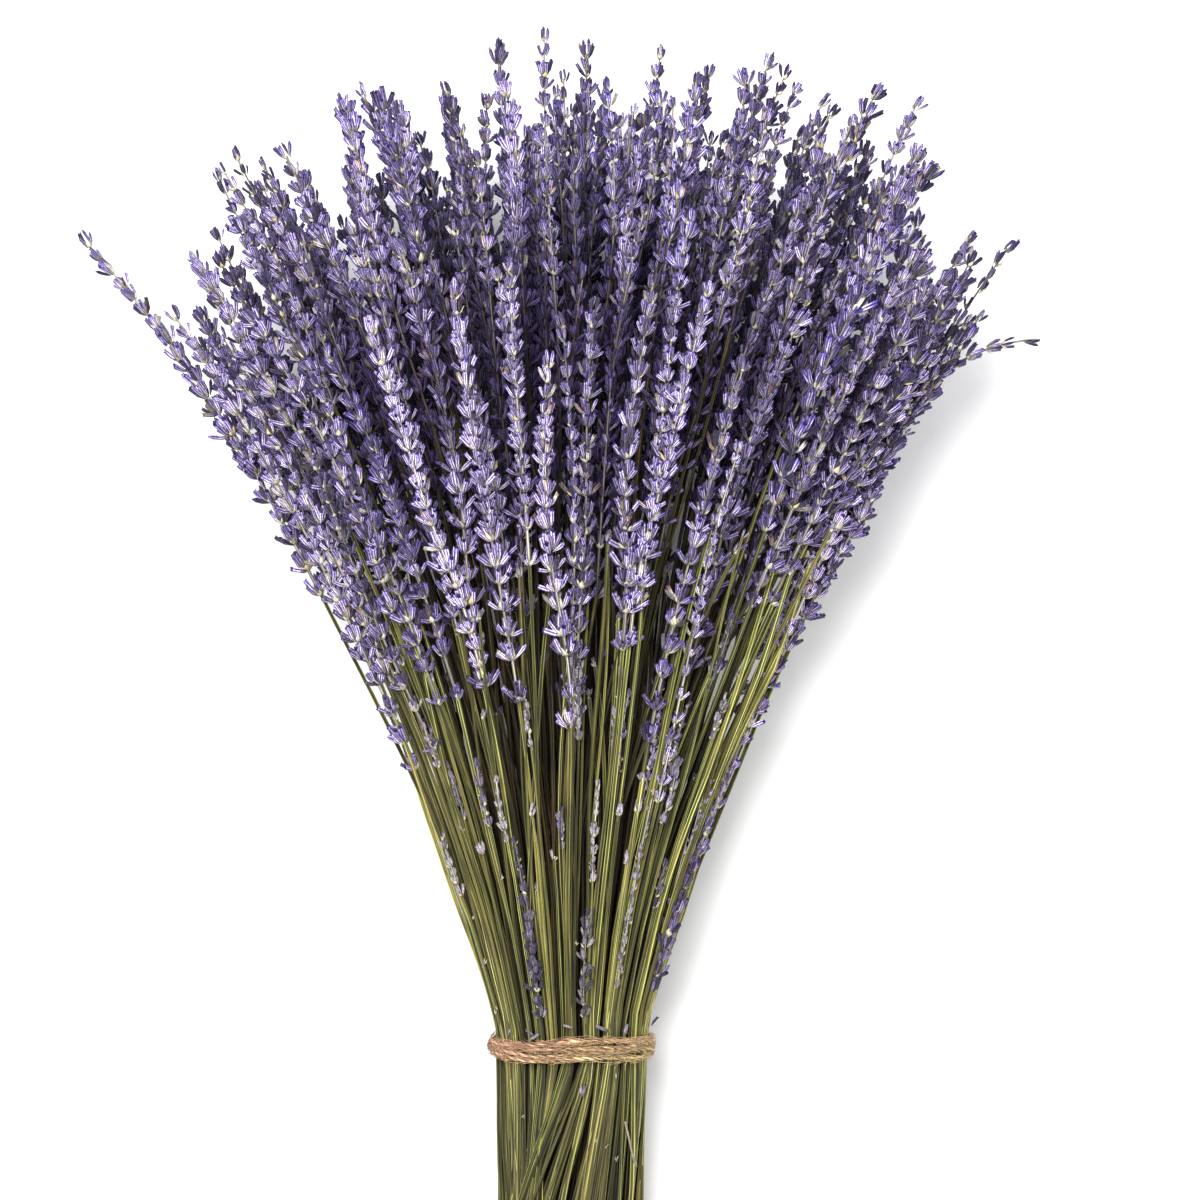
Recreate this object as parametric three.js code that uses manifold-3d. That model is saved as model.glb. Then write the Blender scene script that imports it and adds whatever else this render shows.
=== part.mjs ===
// A tied bunch of dried lavender, lying on a table, in millimetres.
//
// +Y runs from the cut ends to the flower heads and +Z is up. The bunch is worked out with its tie at y = 0 and the
// table at z = 0, and the finished group is then slid along the table until its origin is under its middle.
//
// Every stalk keeps one place (u, v) in a unit disc from its cut end to its tip. The disc is stretched to the
// bundle's outline at each height y: a round bundle at the tie, and a wide, flattened fan at the heads. So the stalks
// spread without crossing. The green stems are pressed into one bundle under the twine, and each violet flower head
// stands on the end of its own stem.

import * as THREE from 'three';
import { mergeVertices } from 'three/addons/utils/BufferGeometryUtils.js';
import Module from 'manifold-3d';

// ---- Driving dimensions ----

const SEED = 7;

// The bundle's outline. Half widths run to the outermost stem's centre line.
const WAIST_HALF_WIDTH = 26.2;
const BUTT_HALF_WIDTH = 25.2; // at the cut ends
const TIE_EDGE = 7.5; // above this height the fan opens
const FLARE = 0.27; // the fan's sideways spread, and how fast the spread grows
const FLARE_GROWTH = 0.00083;
const WAIST_BOTTOM = 4.2; // lowest and highest stem centre line at the tie
const WAIST_TOP = 53.2;
const HEADS_BOTTOM = 5.2; // the lowest heads lie on the table
const SETTLE_LENGTH = 110; // the length over which the lowest stalks come to that height
const RISE = 0.2; // the fan's upward spread, and its growth
const RISE_GROWTH = 0.00042;
const BUTT_SINK = 1.2; // how far the bundle sags at its cut ends
const BUTT_TWIST = 0.42; // the hand-tied turn of the stems below the tie, in radians

// Stalks
const BUTT_Y = -80; // the cut ends
const BUTT_UNEVENNESS = 4;
const HEAD_PLANE_Y = 262; // where the layout of the heads is worked out
const HEAD_SPACING = 20;
const SINGLES = 9; // free heads with a node each, besides those of the outline
const PAIRS = 28; // heads that touch near their bases, two to a node
const PAIR_LEAN = 0.72; // how much nearer a pair stands at its bases
const PAIR_START = 4; // how far a pair's heads start from their middle, before the layout settles
const FREE_SHARE = 0.95; // how far out the free heads start
const LAYOUT_ROUNDS = 160;
const LAYOUT_PUSH = 0.25; // the share of each overlap that a round takes away, for each head
const SWAY = 2.2; // sideways bend of a head
const STEM_RADIUS = 1.45; // to the edges of a three-sided rod
const JOINT_GAP = 0.3; // between touching pieces

// Tips reach a dome: far in the middle, nearer at the sides, and nearest at the top of the pile.
const TIP_REACH = 350;
const TIP_DROP_SIDE = 84;
const TIP_DROP_TOP = 66;
const TIP_DROP_BOTTOM = 30;
const TIP_UNEVENNESS = 36;
const PAIR_UNEVENNESS = 12; // between the tips of a pair

// Flower heads: whorls of pointed florets, each whorl a crown on a slim axis
const HEAD_LENGTH = 104;
const HEAD_LENGTH_SPREAD = 14;
const HEAD_LENGTH_TOP = 22; // how much longer they are at the top of the pile
const FLORETS = 3; // in a whorl
const WHORL_PITCH = 14.2;
const WHORL_RADIUS = 7;
const WHORL_SPREAD = 0.2; // how much narrower the slimmest heads are
const AXIS_RADIUS = 1.45;
const WHORL_CLEARANCE = 0.4; // between a whorl and its neighbours
const FLORET_REACH = 0.82; // how high a floret's point stands, as a share of the whorl's pitch
const NOTCH_REACH = 0.5; // the same for the notch between two florets
const NOTCH_RADIUS = 0.5; // as a share of the whorl's radius

// The packed middle of the stems, which the outer stems stand out of: [height, share of the outline]
const CORE_SIDES = 18;
const CORE_RINGS = [[-70, 0.962], [TIE_EDGE, 0.962], [24, 0.76], [56, 0.3]];
const INNER_SHARE = 0.6; // stems nearer the middle than this share of the outline run hidden inside the core

// Twine
const TWINE_RADIUS = 1.3;
const TWINE_TURNS = 4;
const TWINE_PITCH = 2.75;
const TWINE_SIDES = 5;
const TWINE_STEPS = 14; // in a turn
const KNOT_ANGLE = THREE.MathUtils.degToRad(215); // low on the bundle's left, hidden from above
const KNOT_RADIUS = 3.4;
const TAIL_LENGTH = 15;

// The stalks that make the bunch's outline, each by its tip: [x, y] from the middle of the tie.
const OUTLINE_TIPS = [
  [-172, 287], [-141, 262], [-119, 318], [-99, 313], [-81, 334], [-65, 338], [-43, 334], [-25, 355],
  [-8, 350], [6, 352], [31, 354], [47, 340], [69, 349], [91, 341], [104, 334], [123, 335],
  [124, 309], [140, 288], [156, 285], [164, 256],
];

// ---- Materials ----

const STEM_GREEN = new THREE.MeshStandardMaterial({ color: 0x7d7c45, roughness: 0.75, metalness: 0 });
const FLOWER_VIOLET = new THREE.MeshStandardMaterial({ color: 0x6f68a0, roughness: 0.9, metalness: 0 });
const JUTE = new THREE.MeshStandardMaterial({ color: 0xc59a6c, roughness: 0.95, metalness: 0 });

// ---- Random draws ----

/** A repeatable source of numbers from 0 to 1. */
function randomSource(seed) {
  let state = seed;
  return () => {
    state = (Math.imul(state, 1664525) + 1013904223) >>> 0;
    return state / 4294967296;
  };
}

// ---- The bundle's outline ----

/** How far y is from the tie's edge towards the cut ends, from 0 to 1. */
function buttShare(y) {
  return Math.max(0, (y - TIE_EDGE) / (BUTT_Y - TIE_EDGE));
}

/** Half width of the bundle at y. */
function halfWidth(y) {
  const open = Math.max(0, y - TIE_EDGE);
  const narrowing = (BUTT_HALF_WIDTH - WAIST_HALF_WIDTH) * buttShare(y);
  return WAIST_HALF_WIDTH + narrowing + FLARE * open + FLARE_GROWTH * open * open;
}

/** Height of the lowest stalk's centre line at y. */
function lowEdge(y) {
  const settled = THREE.MathUtils.smoothstep(y, TIE_EDGE, SETTLE_LENGTH);
  return WAIST_BOTTOM - BUTT_SINK * buttShare(y) + (HEADS_BOTTOM - WAIST_BOTTOM) * settled;
}

/** Height of the highest stalk's centre line at y. */
function highEdge(y) {
  const open = Math.max(0, y - TIE_EDGE);
  return WAIST_TOP - 2 * BUTT_SINK * buttShare(y) + RISE * open + RISE_GROWTH * open * open;
}

/** The point at height y of the stalk whose place in the unit disc is (u, v). */
function bundlePoint(u, v, y) {
  const turn = BUTT_TWIST * buttShare(y);
  const a = u * Math.cos(turn) + v * Math.sin(turn);
  const b = v * Math.cos(turn) - u * Math.sin(turn);
  const low = lowEdge(y);
  const high = highEdge(y);
  return new THREE.Vector3(a * halfWidth(y), y, (low + high) / 2 + (b * (high - low)) / 2);
}

// ---- Layout ----

/** The first places of the heads in the head plane: the outline's own, then the others along a spiral. */
function firstPlaces(wide, tall) {
  const goldenAngle = Math.PI * (3 - Math.sqrt(5));
  const places = OUTLINE_TIPS.map(([x, y], i) => {
    const u = THREE.MathUtils.clamp(x / halfWidth(y), -1, 1);
    const spot = ((i * 0.618) % 1) * 1.2 - 0.6;
    return { p: u * wide, q: spot * Math.sqrt(1 - u * u) * tall, cluster: i, tip: [x, y] };
  });
  const clusters = SINGLES + PAIRS;
  for (let i = 0; i < clusters; i++) {
    const r = FREE_SHARE * Math.sqrt((clusters - i - 0.5) / clusters);
    for (const side of i < SINGLES ? [0] : [-1, 1]) {
      const angle = i * goldenAngle;
      const p = wide * r * Math.cos(angle) + side * PAIR_START * Math.cos(7 * angle);
      const q = tall * r * Math.sin(angle) + side * PAIR_START * Math.sin(7 * angle);
      places.push({ p, q, cluster: OUTLINE_TIPS.length + i });
    }
  }
  return places;
}

/** Places of the heads in the unit disc, pushed apart until even, with the two of a pair side by side. */
function headPlaces() {
  const wide = halfWidth(HEAD_PLANE_Y);
  const tall = (highEdge(HEAD_PLANE_Y) - lowEdge(HEAD_PLANE_Y)) / 2;
  const places = firstPlaces(wide, tall);
  for (let round = 0; round < LAYOUT_ROUNDS; round++) {
    places.forEach((a, i) => {
      places.slice(i + 1).forEach((b) => {
        const dp = b.p - a.p;
        const dq = b.q - a.q;
        const d = Math.hypot(dp, dq);
        if (d >= HEAD_SPACING && a.cluster !== b.cluster) return;
        const push = (LAYOUT_PUSH * (HEAD_SPACING - d)) / d;
        if (!a.tip) a.p -= dp * push;
        if (!b.tip) b.p += dp * push;
        a.q -= dq * push;
        b.q += dq * push;
      });
    });
    for (const place of places) {
      const room = Math.sqrt(Math.max(0, 1 - (place.p / wide) ** 2)) * tall;
      const out = Math.max(1, Math.hypot(place.p / wide, place.q / tall));
      if (!place.tip) place.p /= out;
      place.q = place.tip ? THREE.MathUtils.clamp(place.q, -room, room) : place.q / out;
    }
  }
  return places.map(({ p, q, cluster, tip }) => ({ u: p / wide, v: q / tall, cluster, tip }));
}

/** The tip's y for an ordinary stalk at (u, v), before its own unevenness. */
function domeTip(u, v) {
  const drop = v > 0 ? TIP_DROP_TOP : TIP_DROP_BOTTOM;
  return TIP_REACH - TIP_DROP_SIDE * u * u - drop * v * v;
}

/**
 * Every stalk of the bunch: its cluster, its place (u, v), the middle (pu, pv) of its pair, where its head starts and
 * ends, how the head bends, and where its stem is cut.
 */
function layOutStalks() {
  const random = randomSource(SEED);
  const places = headPlaces();
  const clusters = Array.from({ length: OUTLINE_TIPS.length + SINGLES + PAIRS }, (_, cluster) => {
    const members = places.filter((place) => place.cluster === cluster);
    return {
      u: members.reduce((sum, place) => sum + place.u, 0) / members.length,
      v: members.reduce((sum, place) => sum + place.v, 0) / members.length,
      lower: TIP_UNEVENNESS * random(),
      length: HEAD_LENGTH + HEAD_LENGTH_SPREAD * (2 * random() - 1),
    };
  });
  return places.map(({ u, v, cluster, tip }) => {
    const { u: pu, v: pv, lower, length } = clusters[cluster];
    const middleTipY = tip ? tip[1] : domeTip(pu, pv) - lower;
    return {
      cluster,
      u,
      v,
      pu,
      pv,
      tipY: tip ? tip[1] : domeTip(u, v) - lower - PAIR_UNEVENNESS * random(),
      baseY: middleTipY - length - HEAD_LENGTH_TOP * Math.max(0, pv),
      girth: WHORL_RADIUS * (1 - WHORL_SPREAD * random()),
      turn: random() * Math.PI,
      swayX: SWAY * (2 * random() - 1),
      swayZ: SWAY * (2 * random() - 1),
      droop: tip ? tip[0] - u * halfWidth(tip[1]) : 0,
      buttY: BUTT_Y + BUTT_UNEVENNESS * (2 * random() - 1),
    };
  });
}

/** The stalk's centre line at y. Pairs stand nearer at their bases, and heads sway and droop a little. */
function stalkPoint(stalk, y) {
  const share = THREE.MathUtils.clamp((y - stalk.baseY) / (stalk.tipY - stalk.baseY), 0, 1);
  const lean = PAIR_LEAN * (1 - THREE.MathUtils.smoothstep(share, 0, 0.5));
  const u = THREE.MathUtils.lerp(stalk.u, stalk.pu, lean);
  const v = THREE.MathUtils.lerp(stalk.v, stalk.pv, lean);
  const bend = Math.sin(Math.PI * share);
  const point = bundlePoint(u, v, y);
  point.x += stalk.swayX * bend + stalk.droop * share ** 3;
  point.z += stalk.swayZ * bend;
  return point;
}

/** The stalk's direction at y, and two directions across it. */
function stalkFrame(stalk, y) {
  const along = stalkPoint(stalk, y + 1).sub(stalkPoint(stalk, y - 1)).normalize();
  const across = new THREE.Vector3().crossVectors(new THREE.Vector3(0, 0, 1), along).normalize();
  return { along, across, over: new THREE.Vector3().crossVectors(along, across) };
}

/** Points round the stalk at y, at angles from the stalk's own turn. shape(i) gives each one's radius and lift. */
function ringOn(stalk, y, count, offset, shape) {
  const centre = stalkPoint(stalk, y);
  const { along, across, over } = stalkFrame(stalk, y);
  return Array.from({ length: count }, (_, i) => {
    const angle = stalk.turn + offset + (2 * Math.PI * i) / count;
    const { radius, lift = 0 } = shape(i);
    return centre.clone()
      .addScaledVector(along, lift)
      .addScaledVector(across, radius * Math.cos(angle))
      .addScaledVector(over, radius * Math.sin(angle));
  });
}

// ---- Solids ----

const wasm = await Module();
wasm.setup();

/** A manifold solid from a closed three.js geometry. */
function solidFrom(geometry) {
  const bare = geometry.clone();
  bare.deleteAttribute('normal');
  bare.deleteAttribute('uv');
  const merged = mergeVertices(bare, 1e-4);
  return new wasm.Manifold(new wasm.Mesh({
    numProp: 3,
    vertProperties: merged.attributes.position.array,
    triVerts: new Uint32Array(merged.index.array),
  }));
}

/** A three.js geometry from a manifold solid. */
function geometryFrom(solid) {
  const mesh = solid.getMesh();
  const geometry = new THREE.BufferGeometry();
  geometry.setAttribute('position', new THREE.BufferAttribute(mesh.vertProperties, 3));
  geometry.setIndex(new THREE.BufferAttribute(mesh.triVerts, 1));
  geometry.computeVertexNormals();
  return geometry;
}

/**
 * A closed geometry over rings of points. Neighbouring rings either have the same count, or one is a crown with
 * twice as many points as its neighbour, whose points face the crown's tips (below it) or its notches (above it).
 * The first ring is closed flat, and the last one too, unless it is a single point.
 */
function skin(rings) {
  const points = rings.flat();
  const starts = rings.map((_, i) => rings.slice(0, i).reduce((sum, ring) => sum + ring.length, 0));
  const faces = [];
  const at = (ring, i) => starts[ring] + (i % rings[ring].length);
  for (let k = 0; k + 1 < rings.length; k++) {
    const low = rings[k].length;
    const high = rings[k + 1].length;
    if (high === 1) {
      for (let i = 0; i < low; i++) faces.push(at(k, i), at(k, i + 1), at(k + 1, 0));
    } else if (high === low) {
      for (let i = 0; i < low; i++) {
        faces.push(at(k, i), at(k, i + 1), at(k + 1, i + 1));
        faces.push(at(k, i), at(k + 1, i + 1), at(k + 1, i));
      }
    } else if (high > low) {
      for (let i = 0; i < low; i++) {
        faces.push(at(k, i), at(k + 1, 2 * i + 1), at(k + 1, 2 * i));
        faces.push(at(k, i), at(k, i + 1), at(k + 1, 2 * i + 1));
        faces.push(at(k, i + 1), at(k + 1, 2 * i + 2), at(k + 1, 2 * i + 1));
      }
    } else {
      for (let i = 0; i < high; i++) {
        faces.push(at(k, 2 * i + 1), at(k, 2 * i + 2), at(k + 1, i));
        faces.push(at(k, 2 * i + 2), at(k + 1, i + 1), at(k + 1, i));
        faces.push(at(k, 2 * i + 2), at(k, 2 * i + 3), at(k + 1, i + 1));
      }
    }
  }
  const last = rings.length - 1;
  for (let i = 1; i + 1 < rings[0].length; i++) faces.push(at(0, 0), at(0, i + 1), at(0, i));
  for (let i = 1; i + 1 < rings[last].length; i++) faces.push(at(last, 0), at(last, i), at(last, i + 1));
  const geometry = new THREE.BufferGeometry().setFromPoints(points);
  geometry.setIndex(faces);
  return geometry;
}

const table = new THREE.BoxGeometry(800, 1000, 20).translate(0, 0, -10);
const tableSolid = solidFrom(table);

/** The solid with what would sink into the table pressed flat. */
function restOnTable(solid) {
  return solid.boundingBox().min[2] < 0 ? solid.subtract(tableSolid) : solid;
}

// ---- Stems ----

/** A three-sided rod along a stalk, through a list of heights, with one edge towards the bundle's middle. */
function rodSolid(stalk, heights) {
  const inwards = Math.atan2(-stalk.v, stalk.u) - stalk.turn;
  return solidFrom(skin(heights.map((y) => ringOn(stalk, y, 3, inwards, () => ({ radius: STEM_RADIUS })))));
}

/** A stem from its cut end to its head. In the bundle's middle the stretch inside the core is left out. */
function stemSolids(stalk) {
  const top = stalk.baseY - JOINT_GAP;
  const middle = (TIE_EDGE + top) / 2;
  if (Math.hypot(stalk.u, stalk.v) > INNER_SHARE) return [rodSolid(stalk, [stalk.buttY, TIE_EDGE, middle, top])];
  return [rodSolid(stalk, [stalk.buttY, CORE_RINGS[0][0] + 4]), rodSolid(stalk, [0, middle, top])];
}

/** The tightly packed middle of the bundle. */
function coreSolid() {
  const rings = CORE_RINGS.map(([y, share]) => Array.from({ length: CORE_SIDES }, (_, i) => {
    const angle = (2 * Math.PI * i) / CORE_SIDES;
    return bundlePoint(-share * Math.cos(angle), share * Math.sin(angle), y);
  }));
  return solidFrom(skin(rings));
}

/** All the stems, pressed together at the tie. */
function buildStems(stalks) {
  const solid = wasm.Manifold.union([coreSolid(), ...stalks.flatMap(stemSolids)]);
  const mesh = new THREE.Mesh(geometryFrom(restOnTable(solid)), STEM_GREEN);
  mesh.name = 'stems';
  return mesh;
}

// ---- Flower heads ----

/** The widest whorl that clears the other clusters' heads and stems at y. */
function roomAt(stalk, y, stalks) {
  const here = stalkPoint(stalk, y);
  const { along } = stalkFrame(stalk, y);
  let room = WHORL_RADIUS;
  for (const other of stalks) {
    if (other.cluster === stalk.cluster || y > other.tipY + WHORL_RADIUS) continue;
    const onStem = y < other.baseY;
    const between = stalkPoint(other, y).sub(here);
    const apart = between.addScaledVector(along, -between.dot(along)).length();
    room = Math.min(room, onStem ? apart - STEM_RADIUS - WHORL_CLEARANCE : (apart - WHORL_CLEARANCE) / 2);
  }
  return room;
}

/** The share of full width that a whorl has at t, from 0 at the head's base to 1 at its tip. */
function headProfile(t) {
  return 0.8 + 0.2 * Math.sin(Math.PI * Math.min(1, 1.4 * t)) - 0.38 * THREE.MathUtils.smoothstep(t, 0.62, 1);
}

/** A flower head: crowns of florets one above the other, each turned half a floret from the one below. */
function headSolid(stalk, stalks) {
  const length = stalk.tipY - stalk.baseY;
  const whorls = Math.round(length / WHORL_PITCH);
  const rings = [];
  for (let k = 0; k < whorls; k++) {
    const start = k / whorls;
    const y = stalk.baseY + length * start;
    const pitch = length / whorls;
    const room = Math.min(...[0, 0.5, 1].map((share) => roomAt(stalk, y + share * pitch, stalks)));
    const radius = Math.max(AXIS_RADIUS + 0.5, Math.min(room, stalk.girth * headProfile(start)));
    const offset = (k * Math.PI) / FLORETS;
    rings.push(ringOn(stalk, y, FLORETS, offset, () => ({ radius: AXIS_RADIUS })));
    rings.push(ringOn(stalk, y, 2 * FLORETS, offset, (i) => (i % 2
      ? { radius: Math.max(AXIS_RADIUS + 0.1, NOTCH_RADIUS * radius), lift: NOTCH_REACH * pitch }
      : { radius, lift: FLORET_REACH * pitch })));
  }
  rings.push([stalkPoint(stalk, stalk.tipY)]);
  return solidFrom(skin(rings));
}

/** One node for each cluster of heads. */
function buildHeads(stalks) {
  const clusters = OUTLINE_TIPS.length + SINGLES + PAIRS;
  return Array.from({ length: clusters }, (_, cluster) => {
    const members = stalks.filter((stalk) => stalk.cluster === cluster);
    const solid = wasm.Manifold.union(members.map((stalk) => headSolid(stalk, stalks)));
    const mesh = new THREE.Mesh(geometryFrom(restOnTable(solid)), FLOWER_VIOLET);
    mesh.name = `flower_head_${String(cluster + 1).padStart(2, '0')}`;
    return mesh;
  });
}

// ---- Twine ----

/** A point on the twine's path round the bundle: the angle goes round the tie, and out is the distance outwards. */
function roundTie(angle, y, out = 0) {
  const flatness = WAIST_HALF_WIDTH * (1 - Math.cos(Math.PI / TWINE_STEPS));
  const clear = STEM_RADIUS + JOINT_GAP + TWINE_RADIUS + flatness + out;
  const middle = (WAIST_TOP + WAIST_BOTTOM) / 2;
  const tall = (WAIST_TOP - WAIST_BOTTOM) / 2;
  return new THREE.Vector3(
    (WAIST_HALF_WIDTH + clear) * Math.cos(angle), y, middle + (tall + clear) * Math.sin(angle));
}

/** A tube over a list of centre points. */
function tubeSolid(points, radius, sides) {
  const rings = points.map((point, i) => {
    const along = points[Math.min(i + 1, points.length - 1)].clone().sub(points[Math.max(i - 1, 0)]).normalize();
    const across = new THREE.Vector3().crossVectors(new THREE.Vector3(0.1, 1, 0.05), along).normalize();
    const over = new THREE.Vector3().crossVectors(along, across);
    return Array.from({ length: sides }, (_, k) => {
      const angle = (2 * Math.PI * k) / sides;
      return point.clone()
        .addScaledVector(across, radius * Math.cos(angle))
        .addScaledVector(over, radius * Math.sin(angle));
    });
  });
  return solidFrom(skin(rings));
}

/** Turns of twine round the stems, with a knot and two short tails. */
function buildTwine() {
  const steps = TWINE_TURNS * TWINE_STEPS;
  const turns = Array.from({ length: steps + 1 }, (_, i) => {
    const share = i / steps;
    return roundTie(KNOT_ANGLE + 2 * Math.PI * TWINE_TURNS * share, (share - 0.5) * TWINE_TURNS * TWINE_PITCH);
  });
  const knotCentre = roundTie(KNOT_ANGLE, 0, 2.4);
  const knot = new THREE.IcosahedronGeometry(KNOT_RADIUS, 1)
    .scale(1, 1.9, 1)
    .translate(knotCentre.x, knotCentre.y, knotCentre.z);
  const tails = [-1, 1].map((side) => [
    knotCentre.clone(),
    new THREE.Vector3(knotCentre.x - 1, side * 0.5 * TAIL_LENGTH, knotCentre.z - 3),
    new THREE.Vector3(knotCentre.x + 1, side * TAIL_LENGTH, 0.5 * knotCentre.z - 1 - side),
  ]);
  const solid = wasm.Manifold.union([
    tubeSolid(turns, TWINE_RADIUS, TWINE_SIDES),
    solidFrom(knot),
    ...tails.map((points) => tubeSolid(points, TWINE_RADIUS, TWINE_SIDES)),
  ]);
  const mesh = new THREE.Mesh(geometryFrom(restOnTable(solid)), JUTE);
  mesh.name = 'twine_tie';
  return mesh;
}

// ---- The bunch ----

const stalks = layOutStalks();
const bunch = new THREE.Group();
bunch.add(buildStems(stalks), ...buildHeads(stalks), buildTwine());

const box = new THREE.Box3().setFromObject(bunch);
bunch.position.set(-(box.min.x + box.max.x) / 2, -(box.min.y + box.max.y) / 2, -box.min.z);

export default bunch;
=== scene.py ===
"""A tied bunch of dried lavender, lying on a table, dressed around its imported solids.

The bunch is worked out in millimetres with its tie at y = 0 and the table at z = 0, as its solids are, and
each mesh is then put in the frame's own place, in metres. Every stalk keeps one place (u, v) in a unit disc
from its cut end to its tip, and the disc is stretched to the bundle's outline at each height y.
"""

from __future__ import annotations

import logging
import math
from collections.abc import Sequence
from dataclasses import dataclass, field
from enum import Enum

import bmesh
import bpy
import numpy as np
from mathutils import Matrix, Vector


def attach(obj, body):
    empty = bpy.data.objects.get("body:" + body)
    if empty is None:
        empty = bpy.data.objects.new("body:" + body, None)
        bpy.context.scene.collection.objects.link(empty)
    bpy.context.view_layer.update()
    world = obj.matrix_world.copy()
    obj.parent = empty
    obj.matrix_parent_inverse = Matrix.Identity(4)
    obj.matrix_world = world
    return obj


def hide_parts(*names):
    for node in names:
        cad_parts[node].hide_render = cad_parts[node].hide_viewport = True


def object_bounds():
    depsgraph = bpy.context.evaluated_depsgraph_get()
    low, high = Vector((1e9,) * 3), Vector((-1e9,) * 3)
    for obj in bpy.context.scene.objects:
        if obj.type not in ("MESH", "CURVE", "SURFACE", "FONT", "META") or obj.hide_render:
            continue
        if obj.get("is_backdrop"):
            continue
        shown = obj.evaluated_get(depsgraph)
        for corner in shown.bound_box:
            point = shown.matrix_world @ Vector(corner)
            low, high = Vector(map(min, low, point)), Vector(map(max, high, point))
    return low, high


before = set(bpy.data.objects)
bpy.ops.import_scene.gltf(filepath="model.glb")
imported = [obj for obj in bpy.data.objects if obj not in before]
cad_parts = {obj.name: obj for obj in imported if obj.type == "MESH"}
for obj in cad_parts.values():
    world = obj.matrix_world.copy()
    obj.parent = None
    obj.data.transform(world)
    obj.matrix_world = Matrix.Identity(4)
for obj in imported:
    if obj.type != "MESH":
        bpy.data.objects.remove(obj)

LOG = logging.getLogger("lavender")
MM = 0.001
# The colour attribute with tone, hue and wear, and painted shade in its fourth channel.
TINT_AND_SHADE = "Tint"
WEAVE_UV = "Grain"

Array = np.ndarray
Number = np.ndarray | float
Rng = np.random.Generator
Piece = bpy.types.Object
Material = bpy.types.Material
Socket = bpy.types.NodeSocket

# ---- Small tools ----


def smoothstep(x: Number, low: float, high: float) -> Number:
    """A smooth rise from 0 at low to 1 at high."""
    t = np.clip((x - low) / (high - low), 0.0, 1.0)
    return t * t * (3.0 - 2.0 * t)


def unit(vectors: Array) -> Array:
    """Vectors scaled to length 1."""
    return vectors / np.maximum(np.linalg.norm(vectors, axis=-1, keepdims=True), 1e-12)


def run_along(line: Array) -> Array:
    """How far along a line each of its points is."""
    return np.concatenate([[0.0], np.cumsum(np.linalg.norm(np.diff(line, axis=0), axis=1))])


def linear(red: int, green: int, blue: int) -> tuple[float, float, float, float]:
    """A screen colour, 0 to 255, as the linear colour that a shader takes."""
    parts = [c / 255.0 for c in (red, green, blue)]
    return (*(p / 12.92 if p <= 0.04045 else ((p + 0.055) / 1.055) ** 2.4 for p in parts), 1.0)


def deselect() -> None:
    """Leaves nothing selected."""
    bpy.ops.object.select_all(action="DESELECT")


class Draws:
    """A repeatable source of numbers from 0 to 1, the one that the solids were laid out with."""

    def __init__(self, seed: int) -> None:
        """Starts the source from a seed."""
        self.state = seed

    def next(self) -> float:
        """The next number."""
        self.state = (self.state * 1664525 + 1013904223) & 0xFFFFFFFF
        return self.state / 4294967296.0


# ---- The bundle's outline and its stalks ----


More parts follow.
